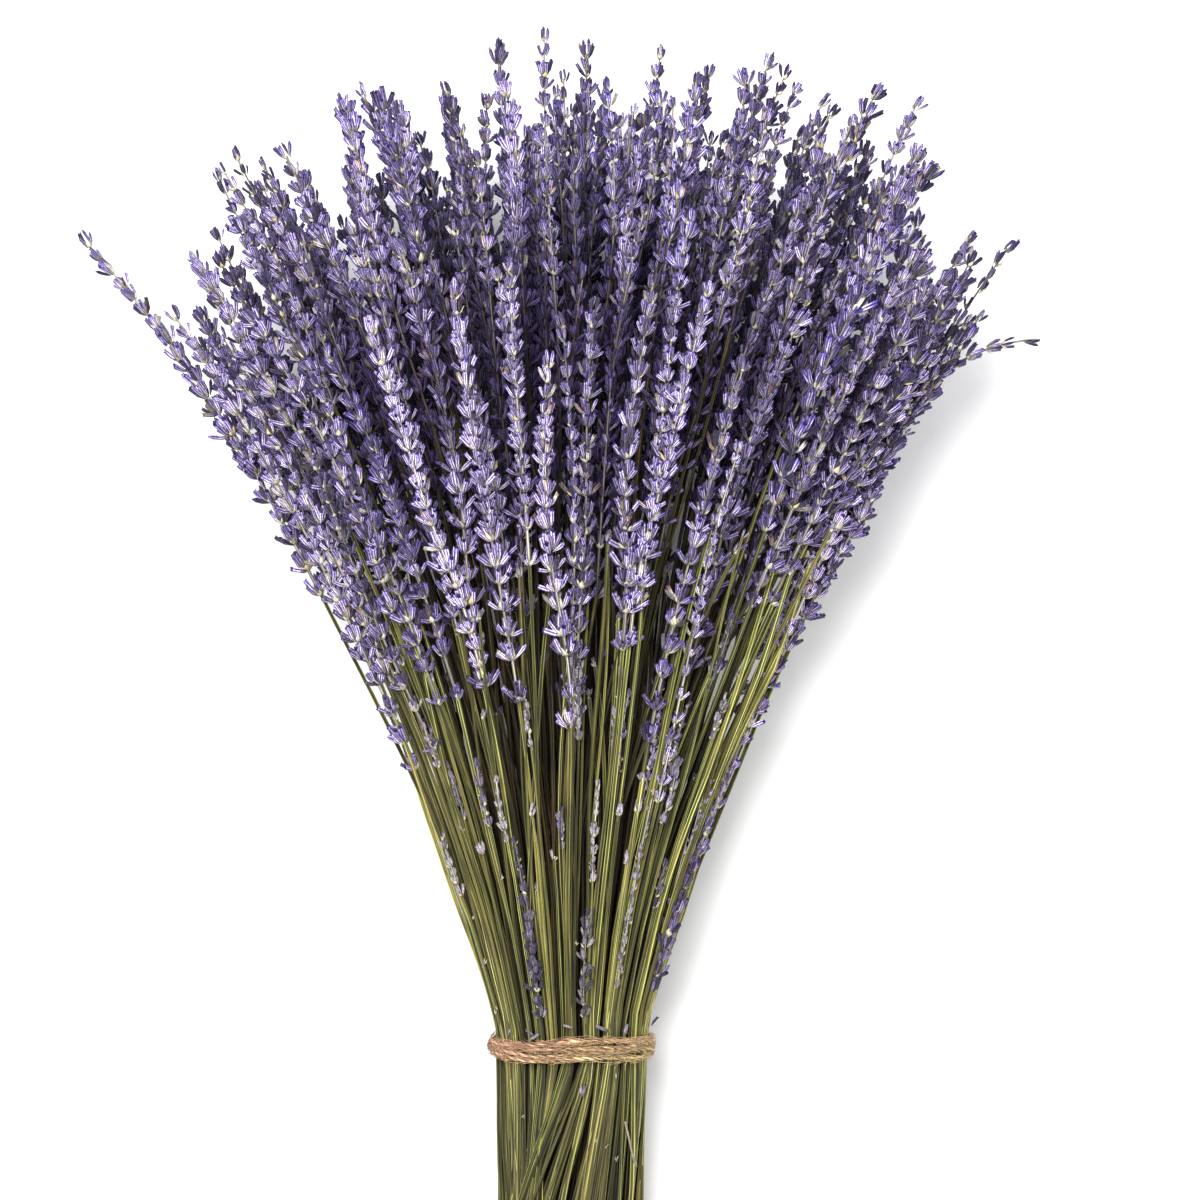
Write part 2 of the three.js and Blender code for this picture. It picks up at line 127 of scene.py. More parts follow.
@dataclass(frozen=True)
class BundleOutline:
    """The outline that the stalks' places are stretched to, in millimetres."""

    waist_half_width: float = 26.2
    butt_half_width: float = 25.2
    tie_edge: float = 7.5
    flare: float = 0.27
    flare_growth: float = 0.00083
    waist_bottom: float = 4.2
    waist_top: float = 53.2
    heads_bottom: float = 5.2
    settle_length: float = 110.0
    rise: float = 0.2
    rise_growth: float = 0.00042
    butt_sink: float = 1.2
    butt_twist: float = 0.42
    butt_y: float = -80.0
    # Stems below the tie are painted darker: partly their own duller colour, partly painted shade.
    butt_shade_and_dullness: float = 0.36
    head_plane_y: float = 262.0
    tip_reach: float = 350.0
    tip_drop_side: float = 84.0
    tip_drop_top: float = 66.0
    tip_drop_bottom: float = 30.0
    # Where the painted shade runs: how far light comes in through the tips, and the depths inside the bundle
    # where shade starts and where it is full.
    light_through_tips: float = 0.27
    tip_shade: float = 4.0
    below_tie_growth: float = 2.5
    fan_opens: tuple[float, float] = (5.0, 70.0)
    heads_begin: tuple[float, float] = (60.0, 200.0)
    lit_depth: float = -0.9
    lit_depth_in_heads: float = 3.9
    dark_depth: float = 2.8
    dark_depth_in_fan: float = 4.0
    dark_depth_in_heads: float = 11.2
    dark_depth_below_tie: float = 2.6

    def butt_share(self, y: Number) -> Number:
        """How far y is from the tie's edge towards the cut ends, from 0 to 1."""
        return np.maximum(0.0, (y - self.tie_edge) / (self.butt_y - self.tie_edge))

    def half_width(self, y: Number) -> Number:
        """Half width of the bundle at y, to the outermost centre line."""
        gap = np.maximum(0.0, y - self.tie_edge)
        narrowing = (self.butt_half_width - self.waist_half_width) * self.butt_share(y)
        return self.waist_half_width + narrowing + self.flare * gap + self.flare_growth * gap * gap

    def low_edge(self, y: Number) -> Number:
        """Height of the lowest stalk's centre line at y."""
        settled = smoothstep(y, self.tie_edge, self.settle_length)
        sunk = self.waist_bottom - self.butt_sink * self.butt_share(y)
        return sunk + (self.heads_bottom - self.waist_bottom) * settled

    def high_edge(self, y: Number) -> Number:
        """Height of the highest stalk's centre line at y."""
        gap = np.maximum(0.0, y - self.tie_edge)
        sunk = self.waist_top - 2 * self.butt_sink * self.butt_share(y)
        return sunk + self.rise * gap + self.rise_growth * gap * gap

    def point(self, u: Number, v: Number, y: Array,
              aside: Number = 0.0) -> Array:
        """The points at heights y of the stalk whose place in the unit disc is (u, v).

        Args:
            u: Its place sideways, from -1 to 1.
            v: Its place upwards, from -1 to 1.
            y: The heights.
            aside: How far it is pushed to the left there along the bundle's outside, in millimetres.

        Returns:
            The points, in millimetres.
        """
        turn = self.butt_twist * self.butt_share(y)
        a = u * np.cos(turn) + v * np.sin(turn)
        b = v * np.cos(turn) - u * np.sin(turn)
        moved = a - aside / self.half_width(y)
        moved = np.where(moved < -0.6, -0.6 - 0.37 * np.tanh((-0.6 - moved) / 0.37), moved)
        moved = np.where(np.asarray(aside) > 0, moved, a)
        b = b * np.sqrt(np.maximum(0.05, 1 - moved * moved) / np.maximum(0.05, 1 - a * a))
        a = moved
        low, high = self.low_edge(y), self.high_edge(y)
        return np.stack([a * self.half_width(y), y, (low + high) / 2 + b * (high - low) / 2], axis=-1)

    def top_at(self, x: float, y: float) -> float:
        """Height of the uppermost centre line over a place on the table."""
        low, high = self.low_edge(y), self.high_edge(y)
        u = min(0.98, abs(x) / float(self.half_width(y)))
        return float((low + high) / 2 + math.sqrt(1 - u * u) * (high - low) / 2)

    def dome_tip(self, u: Number, v: Number) -> Number:
        """The tip's y for an ordinary stalk at (u, v), before its own unevenness."""
        drop = np.where(np.asarray(v) > 0, self.tip_drop_top, self.tip_drop_bottom)
        return self.tip_reach - self.tip_drop_side * u * u - drop * v * v

    def painted_light(self, points: Array) -> Array:
        """Painted light of points: 1 at the bundle's outside, falling to 0 deep inside, where painted shade
        darkens them.
        """
        x, y, z = points[..., 0], points[..., 1], points[..., 2]
        low, high = self.low_edge(y), self.high_edge(y)
        tall = (high - low) / 2
        u, v = x / self.half_width(y), (z - (low + high) / 2) / tall
        inside = (1 - np.hypot(u, v)) * tall
        inside = np.minimum(inside, self.light_through_tips * (self.dome_tip(u, v) - y) - self.tip_shade)
        inside = np.minimum(inside, y - self.butt_y + 1.0)
        among_heads = smoothstep(y, *self.heads_begin)
        below_tie = np.minimum(1.0, self.below_tie_growth * self.butt_share(y))
        start = self.lit_depth + self.lit_depth_in_heads * among_heads
        end = self.dark_depth + self.dark_depth_in_fan * smoothstep(y, *self.fan_opens)
        end = end + self.dark_depth_in_heads * among_heads + self.dark_depth_below_tie * below_tie
        # Below the tie the painted shade deepens, partly for the stems' own duller colour there.
        dull = 1 - self.butt_shade_and_dullness * below_tie
        return (1 - smoothstep((inside - start) / (end - start), 0.0, 1.0)) * dull


class Habit(Enum):
    """How a stalk flowers."""

    FULL = "full"
    SLENDER = "slender"
    WISP = "wisp"
    STOUT = "stout"
    BARE = "bare"


OUTLINE = BundleOutline()


@dataclass
class Stalk:
    """One grown stalk: a stem and the spike at its end.

    Attributes:
        u: Place in the unit disc, sideways.
        v: Place in the unit disc, upwards.
        mid_u: Sideways place of the middle of its pair, or its own.
        mid_v: Upward place of the middle of its pair, or its own.
        base_y: Where the spike starts.
        tip_y: Where the spike ends.
        butt_y: Where the stem is cut.
        girth: Radius of the widest whorl.
        turn: Angle of the first whorl.
        sway_x: Sideways bend of the spike.
        sway_z: Upward bend of the spike.
        droop: How far the tip leans out past the bundle's outline.
        nod: How much the tip bows over outwards, from 0 to 1.
        cluster: Number of its node, counted from 0, or -1.
        habit: How it flowers.
        thickness: Radius of the stem at its thickest.
        stray: How far the stem's own waves take it off its line.
        cross: How far its cut end is pushed to the left, over its neighbours.
        drift_u: How far sideways its place at the tie is from its place among the heads.
        drift_v: The same, upwards.
        proud: How far it lies on top of the others, in millimetres.
        flower_y: Where its lowest whorl is.
        closes_from: How far up the spike its whorls start to get smaller, as a share of it.
        tone: How pale its flowers are, from 0 to 1, partly painted light: paler on the bundle's upper side.
        hue: How blue its flowers are, from 0 to 1.
    """

    u: float
    v: float
    base_y: float
    tip_y: float
    butt_y: float
    girth: float
    turn: float
    sway_x: float = 0.0
    sway_z: float = 0.0
    mid_u: float | None = None
    mid_v: float | None = None
    droop: float = 0.0
    nod: float = 0.0
    cluster: int = -1
    habit: Habit = Habit.FULL
    thickness: float = 0.95
    stray: float = 0.5
    cross: float = 0.0
    drift_u: float = 0.0
    drift_v: float = 0.0
    proud: float = 0.0
    flower_y: float | None = None
    closes_from: float = 0.73
    tone: float = 0.5
    hue: float = 0.2

    PAIR_LEAN = 0.72
    ARCH = (-4.8, 10.0)
    TIP_FALL = 6.5

    def __post_init__(self) -> None:
        """Lets it stand alone and its flowers start where the spike does, if nothing else is said."""
        if self.mid_u is None:
            self.mid_u, self.mid_v = self.u, self.v
        if self.flower_y is None:
            self.flower_y = self.base_y

    def centre(self, y: Array) -> Array:
        """The centre line at heights y, in millimetres."""
        share = np.clip((y - self.base_y) / (self.tip_y - self.base_y), 0.0, 1.0)
        lean = self.PAIR_LEAN * (1 - smoothstep(share, 0.0, 0.5))
        wander = 1 - smoothstep(y, 20.0, 220.0)
        u = self.u + (self.mid_u - self.u) * lean + self.drift_u * wander
        v = self.v + (self.mid_v - self.v) * lean + self.drift_v * wander
        inside = 1 / np.maximum(1.0, np.hypot(u, v))
        below = np.maximum(0.0, -y) / -OUTLINE.butt_y
        points = OUTLINE.point(u * inside, v * inside, y, self.cross * below**1.2 * (1 - 0.25 * below**2))
        bend = np.sin(np.pi * share)
        free = self.stray * smoothstep(np.abs(y), 8.0, 60.0)
        points[:, 0] += self.sway_x * bend + self.droop * share**3 + free * np.sin(y / 27.0 + 5 * self.turn)
        points[:, 2] += self.sway_z * bend + 0.6 * free * np.sin(y / 31.0 + 9 * self.turn)
        bowed = np.clip((share - 0.35) / 0.65, 0.0, 1.0)
        points[:, :2] += self.nod * np.sin(np.pi * bowed)[:, None] * np.array(self.ARCH)
        points[:, 1] -= self.nod * self.TIP_FALL * bowed**6
        points[:, 2] += self.proud * smoothstep(y, 7.0, 30.0)
        points[:, 2] += 0.07 * self.cross * smoothstep(below, 0.05, 0.4)
        return points

    def frames(self, y: Array) -> tuple[Array, Array, Array]:
        """Directions along the stalk and two across it, at heights y."""
        along = unit(self.centre(y + 1.0) - self.centre(y - 1.0))
        across = unit(np.cross(np.array([0.0, 0.0, 1.0]), along))
        return along, across, np.cross(along, across)


@dataclass
class Planting:
    """Lays out every stalk: those of the solids by the solids' own rule, then the ones between them."""

    seed: int = 7
    spacing: float = 20.0
    singles: int = 9
    pairs: int = 28
    pair_start: float = 4.0
    free_share: float = 0.95
    rounds: int = 160
    push: float = 0.25
    sway: float = 2.2
    tip_unevenness: float = 36.0
    pair_unevenness: float = 12.0
    head_length: float = 104.0
    head_length_spread: float = 14.0
    head_length_top: float = 22.0
    whorl_radius: float = 7.0
    whorl_spread: float = 0.2
    butt_unevenness: float = 4.0
    filler_count: int = 112
    filler_spacing: float = 13.6
    crest_count: int = 66
    under_count: int = 18
    bare_count: int = 170
    low_count: int = 20
    stout_from: float = 5.9
    filler_girths: tuple[float, float] = (5.2, 6.9)
    bare_whole: float = 0.85
    bare_ends: tuple[float, float] = (118.0, 190.0)
    broken_ends: tuple[float, float] = (50.0, 110.0)
    stub: float = 6.0
    low_places: tuple[float, float] = (40.0, 135.0)
    low_lengths: tuple[float, float] = (12.0, 34.0)
    slim_share: float = 0.12
    tone_spread: float = 0.2
    hue_spread: float = 0.15
    tone_limit: float = 0.98
    hue_limit: float = 0.85
    # Fillers are darker: partly their own colour, partly painted shade.
    filler_tone_and_shade: float = -0.07
    tone_of_buds: float = 0.6
    leans: tuple[tuple[float, ...], tuple[float, ...]] = (
        (-1.0, -0.8, -0.5, -0.3, -0.1, 0.17, 0.3, 0.4, 0.5, 0.7, 0.95),
        (0, 7, 14, 26, 44, 45, 37, 30, 23, 13, 6),
    )
    low_spikes: tuple[tuple[float, float, float, float, float, float], ...] = (
        (-10.5, 12.0, 62.0, 6.2, 0.2, 0.22), (4.6, 12.0, 50.0, 6.0, 0.16, 0.05),
        (16.0, 22.0, 94.0, 4.2, 0.6, 0.0), (28.0, 20.0, 70.0, 7.8, 0.22, 0.36),
        (44.0, 64.0, 74.0, 6.0, 0.4, 0.7), (-38.0, 54.0, 80.0, 4.6, 0.9, 0.0),
        (-46.0, 100.0, 117.0, 4.2, 0.7, 0.1), (-22.0, 74.0, 99.0, 4.2, 0.85, 0.0),
        (8.0, 60.0, 98.0, 3.8, 0.85, 0.05), (-13.0, 108.0, 124.0, 4.6, 0.8, 0.1),
        (31.0, 80.0, 104.0, 5.6, 0.6, 0.2), (40.0, 56.0, 102.0, 5.0, 0.5, 0.5),
        (-28.0, 80.0, 104.0, 4.8, 0.35, 0.3), (24.0, 84.0, 86.0, 5.6, 0.7, 0.1),
        (-13.0, 83.0, 85.0, 5.0, 0.95, 0.0), (16.0, 83.0, 85.0, 5.0, 0.95, 0.0),
        (-31.0, 69.0, 71.0, 4.6, 0.9, 0.0), (-5.0, 68.0, 70.0, 4.6, 0.9, 0.0),
        (20.0, 66.0, 68.0, 4.6, 0.9, 0.0),
    )
    outline_tips: tuple[tuple[float, float], ...] = (
        (-172, 287), (-141, 262), (-119, 318), (-99, 313), (-81, 334), (-65, 338), (-43, 334), (-25, 355),
        (-8, 350), (6, 352), (31, 354), (47, 340), (69, 349), (91, 341), (104, 334), (123, 335),
        (124, 309), (140, 288), (156, 285), (164, 256),
    )
    thin_tips: tuple[tuple[int, Habit, float, float], ...] = (
        (0, Habit.FULL, 0.5, 0.0), (18, Habit.SLENDER, 0.44, 0.0), (19, Habit.FULL, 0.5, 1.0),
    )
    stalks: list[Stalk] = field(default_factory=list)

    def __post_init__(self) -> None:
        """Works out the half sizes of the plane that the heads are laid out in."""
        y = OUTLINE.head_plane_y
        self.wide = float(OUTLINE.half_width(y))
        self.tall = float(OUTLINE.high_edge(y) - OUTLINE.low_edge(y)) / 2

    def first_places(self) -> list[dict]:
        """The outline's own places, then the others along a spiral."""
        golden = math.pi * (3 - math.sqrt(5))
        places = []
        for i, (x, y) in enumerate(self.outline_tips):
            u = min(1.0, max(-1.0, x / float(OUTLINE.half_width(y))))
            spot = ((i * 0.618) % 1) * 1.2 - 0.6
            q = spot * math.sqrt(1 - u * u) * self.tall
            places.append({"p": u * self.wide, "q": q, "cluster": i, "tip": (x, y)})
        clusters = self.singles + self.pairs
        for i in range(clusters):
            r = self.free_share * math.sqrt((clusters - i - 0.5) / clusters)
            angle = i * golden
            for side in (0,) if i < self.singles else (-1, 1):
                p = self.wide * r * math.cos(angle) + side * self.pair_start * math.cos(7 * angle)
                q = self.tall * r * math.sin(angle) + side * self.pair_start * math.sin(7 * angle)
                places.append({"p": p, "q": q, "cluster": len(self.outline_tips) + i, "tip": None})
        return places

    def settled_places(self) -> list[dict]:
        """The places pushed apart until even, with the two of a pair side by side."""
        places = self.first_places()
        for _ in range(self.rounds):
            for i, a in enumerate(places):
                for b in places[i + 1 :]:
                    dp, dq = b["p"] - a["p"], b["q"] - a["q"]
                    if abs(dp) >= self.spacing and a["cluster"] != b["cluster"]:
                        continue
                    d = math.hypot(dp, dq)
                    if d >= self.spacing and a["cluster"] != b["cluster"]:
                        continue
                    push = (self.push * (self.spacing - d)) / d
                    if not a["tip"]:
                        a["p"] -= dp * push
                    if not b["tip"]:
                        b["p"] += dp * push
                    a["q"] -= dq * push
                    b["q"] += dq * push
            for place in places:
                room = math.sqrt(max(0.0, 1 - (place["p"] / self.wide) ** 2)) * self.tall
                out = max(1.0, math.hypot(place["p"] / self.wide, place["q"] / self.tall))
                if place["tip"]:
                    place["q"] = min(room, max(-room, place["q"]))
                else:
                    place["p"] /= out
                    place["q"] /= out
        return places

    def plant_solid_stalks(self) -> list[Stalk]:
        """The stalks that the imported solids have."""
        draws = Draws(self.seed)
        places = self.settled_places()
        for place in places:
            place["u"], place["v"] = place["p"] / self.wide, place["q"] / self.tall
        clusters = []
        for number in range(len(self.outline_tips) + self.singles + self.pairs):
            members = [p for p in places if p["cluster"] == number]
            clusters.append((
                sum(p["u"] for p in members) / len(members),
                sum(p["v"] for p in members) / len(members),
                self.tip_unevenness * draws.next(),
                self.head_length + self.head_length_spread * (2 * draws.next() - 1),
            ))
        stalks = []
        for place in places:
            u, v, tip = place["u"], place["v"], place["tip"]
            mid_u, mid_v, lower, length = clusters[place["cluster"]]
            middle_tip = tip[1] if tip else float(OUTLINE.dome_tip(mid_u, mid_v)) - lower
            tip_y = middle_tip
            if not tip:
                tip_y = float(OUTLINE.dome_tip(u, v)) - lower - self.pair_unevenness * draws.next()
            stalks.append(Stalk(
                u=u, v=v, mid_u=mid_u, mid_v=mid_v,
                base_y=middle_tip - length - self.head_length_top * max(0.0, mid_v),
                tip_y=tip_y,
                girth=self.whorl_radius * (1 - self.whorl_spread * draws.next()),
                turn=draws.next() * math.pi,
                sway_x=self.sway * (2 * draws.next() - 1),
                sway_z=self.sway * (2 * draws.next() - 1),
                droop=tip[0] - u * float(OUTLINE.half_width(tip[1])) if tip else 0.0,
                butt_y=OUTLINE.butt_y + self.butt_unevenness * (2 * draws.next() - 1),
                cluster=place["cluster"],
            ))
        return stalks

    def filler_places(self, taken: Array) -> Array:
        """Places between those already taken, in the heads' plane.

        Args:
            taken: Places of the solids' stalks, which don't move.

        Returns:
            The new places, pushed apart until even.
        """
        golden = math.pi * (3 - math.sqrt(5))
        i = np.arange(self.filler_count)
        r = np.sqrt((i + 0.5) / self.filler_count)
        angle = i * golden + 1
        spots = np.stack([self.wide * r * np.cos(angle), self.tall * r * np.sin(angle)], axis=1)
        half = np.array([self.wide, self.tall])
        for _ in range(240):
            everyone = np.concatenate([spots, taken])
            away = spots[:, None] - everyone[None]
            d = np.linalg.norm(away, axis=2) + np.eye(len(spots), len(everyone)) * 1e6
            push = np.maximum(0.0, self.filler_spacing - d) / np.maximum(d, 0.1)
            spots = spots + 0.3 * np.sum(away * push[..., None], axis=1)
            out = np.maximum(1.0, np.linalg.norm(spots / half, axis=1) / 0.99)
            spots = spots / out[:, None]
        return spots / half

    def plant_fillers(self, rng: Rng, solid: Sequence[Stalk]) -> list[Stalk]:
        """The stalks between the solids' own, with lower tips."""
        taken = np.array([[s.u * self.wide, s.v * self.tall] for s in solid])
        stalks = []
        for u, v in self.filler_places(taken):
            tip = float(OUTLINE.dome_tip(u, v)) - 6 - 72 * rng.random() ** 1.1
            length = rng.uniform(78, 122) + 16 * max(0.0, v)
            stalks.append(self.loose_stalk(rng, u, v, tip, length, 0.3))
        skyline = np.array(sorted(self.outline_tips))
        for i in range(self.crest_count):
            x = -134 + 286 * (i + rng.uniform(0.1, 0.9)) / self.crest_count
            tip = float(np.interp(x, skyline[:, 0], skyline[:, 1])) - rng.uniform(1, 34) - 6 * (i % 2)
            u = min(0.97, max(-0.97, x / float(OUTLINE.half_width(tip))))
            v = rng.uniform(-0.4, 0.7) * math.sqrt(1 - u * u)
            stalks.append(self.loose_stalk(rng, u, v, tip, rng.uniform(72, 108), 0.3))
        for i in range(self.under_count):
            x = -112 + 236 * (i + rng.uniform(0.2, 0.8)) / self.under_count
            tip = float(np.interp(x, skyline[:, 0], skyline[:, 1])) - rng.uniform(18, 44)
            u = x / float(OUTLINE.half_width(tip))
            v = rng.uniform(-0.85, -0.35) * math.sqrt(1 - u * u)
            stalks.append(self.loose_stalk(rng, u, v, tip, rng.uniform(60, 80), 0.3))
        return stalks

    def loose_stalk(self, rng: Rng, u: float, v: float, tip: float, length: float,
                    slender: float) -> Stalk:
        """One filling stalk.

        Args:
            rng: Where its own differences are drawn from.
            u: Its place sideways.
            v: Its place upwards.
            tip: Where its spike ends.
            length: How long its spike is.
            slender: How likely it is to be a slender one.

        Returns:
            The stalk.
        """
        return Stalk(
            u=u, v=v, base_y=tip - length, tip_y=tip,
            butt_y=OUTLINE.butt_y + self.butt_unevenness * rng.uniform(-1, 1),
            girth=rng.uniform(*self.filler_girths), turn=rng.uniform(0, math.pi),
            sway_x=rng.uniform(-4, 4), sway_z=rng.uniform(-2.5, 2.5),
            habit=Habit.SLENDER if rng.random() < slender else Habit.FULL,
            thickness=rng.uniform(0.72, 1.02), stray=rng.uniform(0.5, 1.6),
            drift_u=rng.normal(0, 0.12), drift_v=rng.normal(0, 0.1),
        )

    def plant_bare(self, rng: Rng) -> list[Stalk]:
        """Stems whose spikes are gone, most of them near the outside of the bundle."""
        stalks = []
        for _ in range(self.bare_count):
            r, angle = math.sqrt(rng.uniform(0.25, 1.0)), rng.uniform(0, 2 * math.pi)
            u, v = r * math.cos(angle), r * math.sin(angle)
            if rng.random() < 0.4:
                v = abs(v)
            end = rng.uniform(*(self.bare_ends if rng.random() < self.bare_whole else self.broken_ends))
            stalks.append(Stalk(
                u=u, v=v, base_y=end - self.stub, tip_y=end,
                butt_y=OUTLINE.butt_y + self.butt_unevenness * rng.uniform(-1, 1),
                girth=5.2, turn=rng.uniform(0, math.pi), habit=Habit.BARE, tone=0.8,
                thickness=rng.uniform(0.55, 1.05), stray=rng.uniform(0.5, 1.9),
                drift_u=rng.normal(0, 0.16), drift_v=rng.normal(0, 0.08),
            ))
        return stalks

    def plant_low(self, rng: Rng) -> list[Stalk]:
        """The thin spikes low among the stems, the ones that the photograph shows and some others behind."""
        rows = list(self.low_spikes)
        for _ in range(self.low_count):
            x0, y0 = rng.uniform(-0.9, 0.9), rng.uniform(*self.low_places)
            rows.append((x0 * float(OUTLINE.half_width(y0)), y0, y0 + rng.uniform(*self.low_lengths),
                         rng.uniform(3.6, 5.4), rng.uniform(0.1, 0.6), rng.uniform(0, 0.5)))
        stalks = []
        for number, (x, low, high, girth, tone, hue) in enumerate(rows):
            u = x / float(OUTLINE.half_width(low))
            u = min(0.99, max(-0.99, u))
            on_top = number < len(self.low_spikes)
            v = math.sqrt(1 - u * u) * (1.0 if on_top else rng.uniform(0.8, 1.0))
            stalks.append(Stalk(
                u=u, v=v, base_y=low - 2, tip_y=high,
                butt_y=OUTLINE.butt_y + self.butt_unevenness * rng.uniform(-1, 1),
                girth=girth, turn=rng.uniform(0, math.pi), sway_x=rng.uniform(-1, 1),
                habit=Habit.STOUT if girth > self.stout_from else Habit.WISP,
                thickness=rng.uniform(0.45, 0.7), stray=0.4, proud=1.5 if on_top else 0.6,
                flower_y=low, tone=tone, hue=hue,
            ))
        return stalks

    def plant(self) -> list[Stalk]:
        """Every stalk of the bunch."""
        rng = np.random.default_rng(self.seed)
        solid = self.plant_solid_stalks()
        for stalk in solid:
            outline = stalk.cluster < len(self.outline_tips)
            slim = outline and rng.random() < self.slim_share
            stalk.habit = Habit.SLENDER if slim else Habit.FULL
            stalk.thickness = rng.uniform(0.82, 1.14)
            stalk.stray = rng.uniform(0.5, 1.4)
            stalk.flower_y = stalk.base_y - rng.uniform(0, 50 if outline else 14)
            stalk.proud = -1.1 * max(0.0, stalk.v)
        for cluster, habit, closes_from, nod in self.thin_tips:
            for stalk in solid:
                if stalk.cluster == cluster:
                    stalk.habit, stalk.closes_from, stalk.nod = habit, closes_from, nod
        self.stalks = solid + self.plant_fillers(rng, solid)
        for stalk in self.stalks:
            height = float(np.clip((stalk.tip_y - 235) / 110, 0, 1))
            # Painted light: stalks on the bundle's upper side are paler; the fillers between the others are
            # darker, partly painted shade.
            top = max(0.0, stalk.v)
            dull = self.filler_tone_and_shade if stalk.cluster < 0 else 0.0
            paleness_and_light = 0.4 + 0.2 * top - 0.02 * height + dull
            stalk.tone = float(np.clip(rng.normal(paleness_and_light, self.tone_spread), 0.0, self.tone_limit))
            if stalk.closes_from < 0.6:
                stalk.tone *= self.tone_of_buds
            blueness = 0.2 + 0.2 * height + 0.4 * (0.4 - stalk.tone)
            stalk.hue = float(np.clip(rng.normal(blueness, self.hue_spread), 0.0, self.hue_limit))
        self.stalks += self.plant_bare(rng) + self.plant_low(rng)
        for stalk in self.stalks:
            self.lay_butt(stalk, rng)
        return self.stalks

    def lay_butt(self, stalk: Stalk, rng: Rng) -> None:
        """Decides how a stalk's cut end lies: those at the front middle lean to the left over the others."""
        u, v = stalk.u + stalk.drift_u, stalk.v + stalk.drift_v
        near_top = float(smoothstep(v / math.sqrt(max(0.1, 1 - u * u)), 0.3, 0.8))
        lean = float(np.interp(u, *self.leans)) * near_top * rng.uniform(0.8, 1.12)
        stalk.cross = max(0.0, lean + rng.uniform(-3, 4))


# ---- Meshes ----


@dataclass
class Pattern:
    """A shape that is modelled once and copied.

    Attributes:
        points: Its corners, in millimetres, standing on the origin along +Z.
        loops: Corner numbers of its faces, one face after the other.
        sizes: Number of corners of each face.
        uv: A place in the grain for each entry of loops.
        finish: Number of its finish among the piece's finishes.
    """

    points: Array
    loops: Array
    sizes: Array
    uv: Array
    finish: int


class Heap:
    """Gathers copies of patterns into one mesh, with nothing below the table or far above the solids."""

    LOWEST = 0.05 * MM
    CROWN = 138.0
    CROWN_ROOM = 7.5

    def __init__(self) -> None:
        """Starts with nothing in it."""
        self.points: list[Array] = []
        self.loops: list[Array] = []
        self.sizes: list[Array] = []
        self.uv: list[Array] = []
        self.finish: list[Array] = []
        self.tint: list[Array] = []
        self.count = 0

    def add(self, pattern: Pattern, places: Array, tints: Array) -> None:
        """Adds copies of a pattern.

        Args:
            pattern: What is copied.
            places: A 3 by 4 matrix for each copy: three axes and an origin, as columns, in millimetres.
            tints: Four numbers for each copy, which its finish varies by; the fourth is later set to the
                painted shade.
        """
        copies, corners = len(places), len(pattern.points)
        if not copies:
            return
        laid = np.einsum("nij,mj->nmi", places[:, :, :3], pattern.points) + places[:, None, :, 3]
        starts = self.count + corners * np.arange(copies)
        self.points.append(laid.reshape(-1, 3))
        self.loops.append((pattern.loops[None] + starts[:, None]).ravel())
        self.sizes.append(np.tile(pattern.sizes, copies))
        self.uv.append(np.tile(pattern.uv, (copies, 1)))
        self.finish.append(np.full(copies * len(pattern.sizes), pattern.finish))
        self.tint.append(np.repeat(tints, corners, axis=0))
        self.count += copies * corners

    def piece(self, name: str, finishes: Sequence[Material], shift: Array) -> Piece:
        """The mesh as one object of the scene.

        Args:
            name: The piece's name.
            finishes: Its materials, in the order that the patterns number them.
            shift: From the bunch's own origin to the frame's, in metres.

        Returns:
            The new object.
        """
        laid, tints = np.concatenate(self.points), np.concatenate(self.tint)
        proud = np.maximum(0.0, laid[:, 2] - self.CROWN)
        laid[:, 2] -= proud - self.CROWN_ROOM * np.tanh(proud / self.CROWN_ROOM)
        points = laid * MM + shift
        points[:, 2] = np.maximum(points[:, 2], self.LOWEST)
        loops, sizes = np.concatenate(self.loops), np.concatenate(self.sizes)
        mesh = bpy.data.meshes.new(name)
        mesh.vertices.add(len(points))
        mesh.vertices.foreach_set("co", points.astype(np.float32).ravel())
        mesh.loops.add(len(loops))
        mesh.loops.foreach_set("vertex_index", loops.astype(np.int32))
        mesh.polygons.add(len(sizes))
        starts = np.concatenate([[0], np.cumsum(sizes)[:-1]])
        mesh.polygons.foreach_set("loop_start", starts.astype(np.int32))
        mesh.polygons.foreach_set("loop_total", sizes.astype(np.int32))
        for finish in finishes:
            mesh.materials.append(finish)
        mesh.polygons.foreach_set("material_index", np.concatenate(self.finish).astype(np.int32))
        mesh.polygons.foreach_set("use_smooth", np.ones(len(sizes), dtype=bool))
        grain = mesh.uv_layers.new(name=WEAVE_UV)
        grain.data.foreach_set("uv", np.concatenate(self.uv).astype(np.float32).ravel())
        tint = mesh.color_attributes.new(name=TINT_AND_SHADE, type="FLOAT_COLOR", domain="POINT")
        # The fourth channel is painted shade: the deeper inside the bundle a point lies, the darker.
        tints[:, 3] = OUTLINE.painted_light(laid)
        tint.data.foreach_set("color", tints.astype(np.float32).ravel())
        mesh.update(calc_edges=True)
        mesh.validate()
        piece = bpy.data.objects.new(name, mesh)
        bpy.context.scene.collection.objects.link(piece)
        return piece


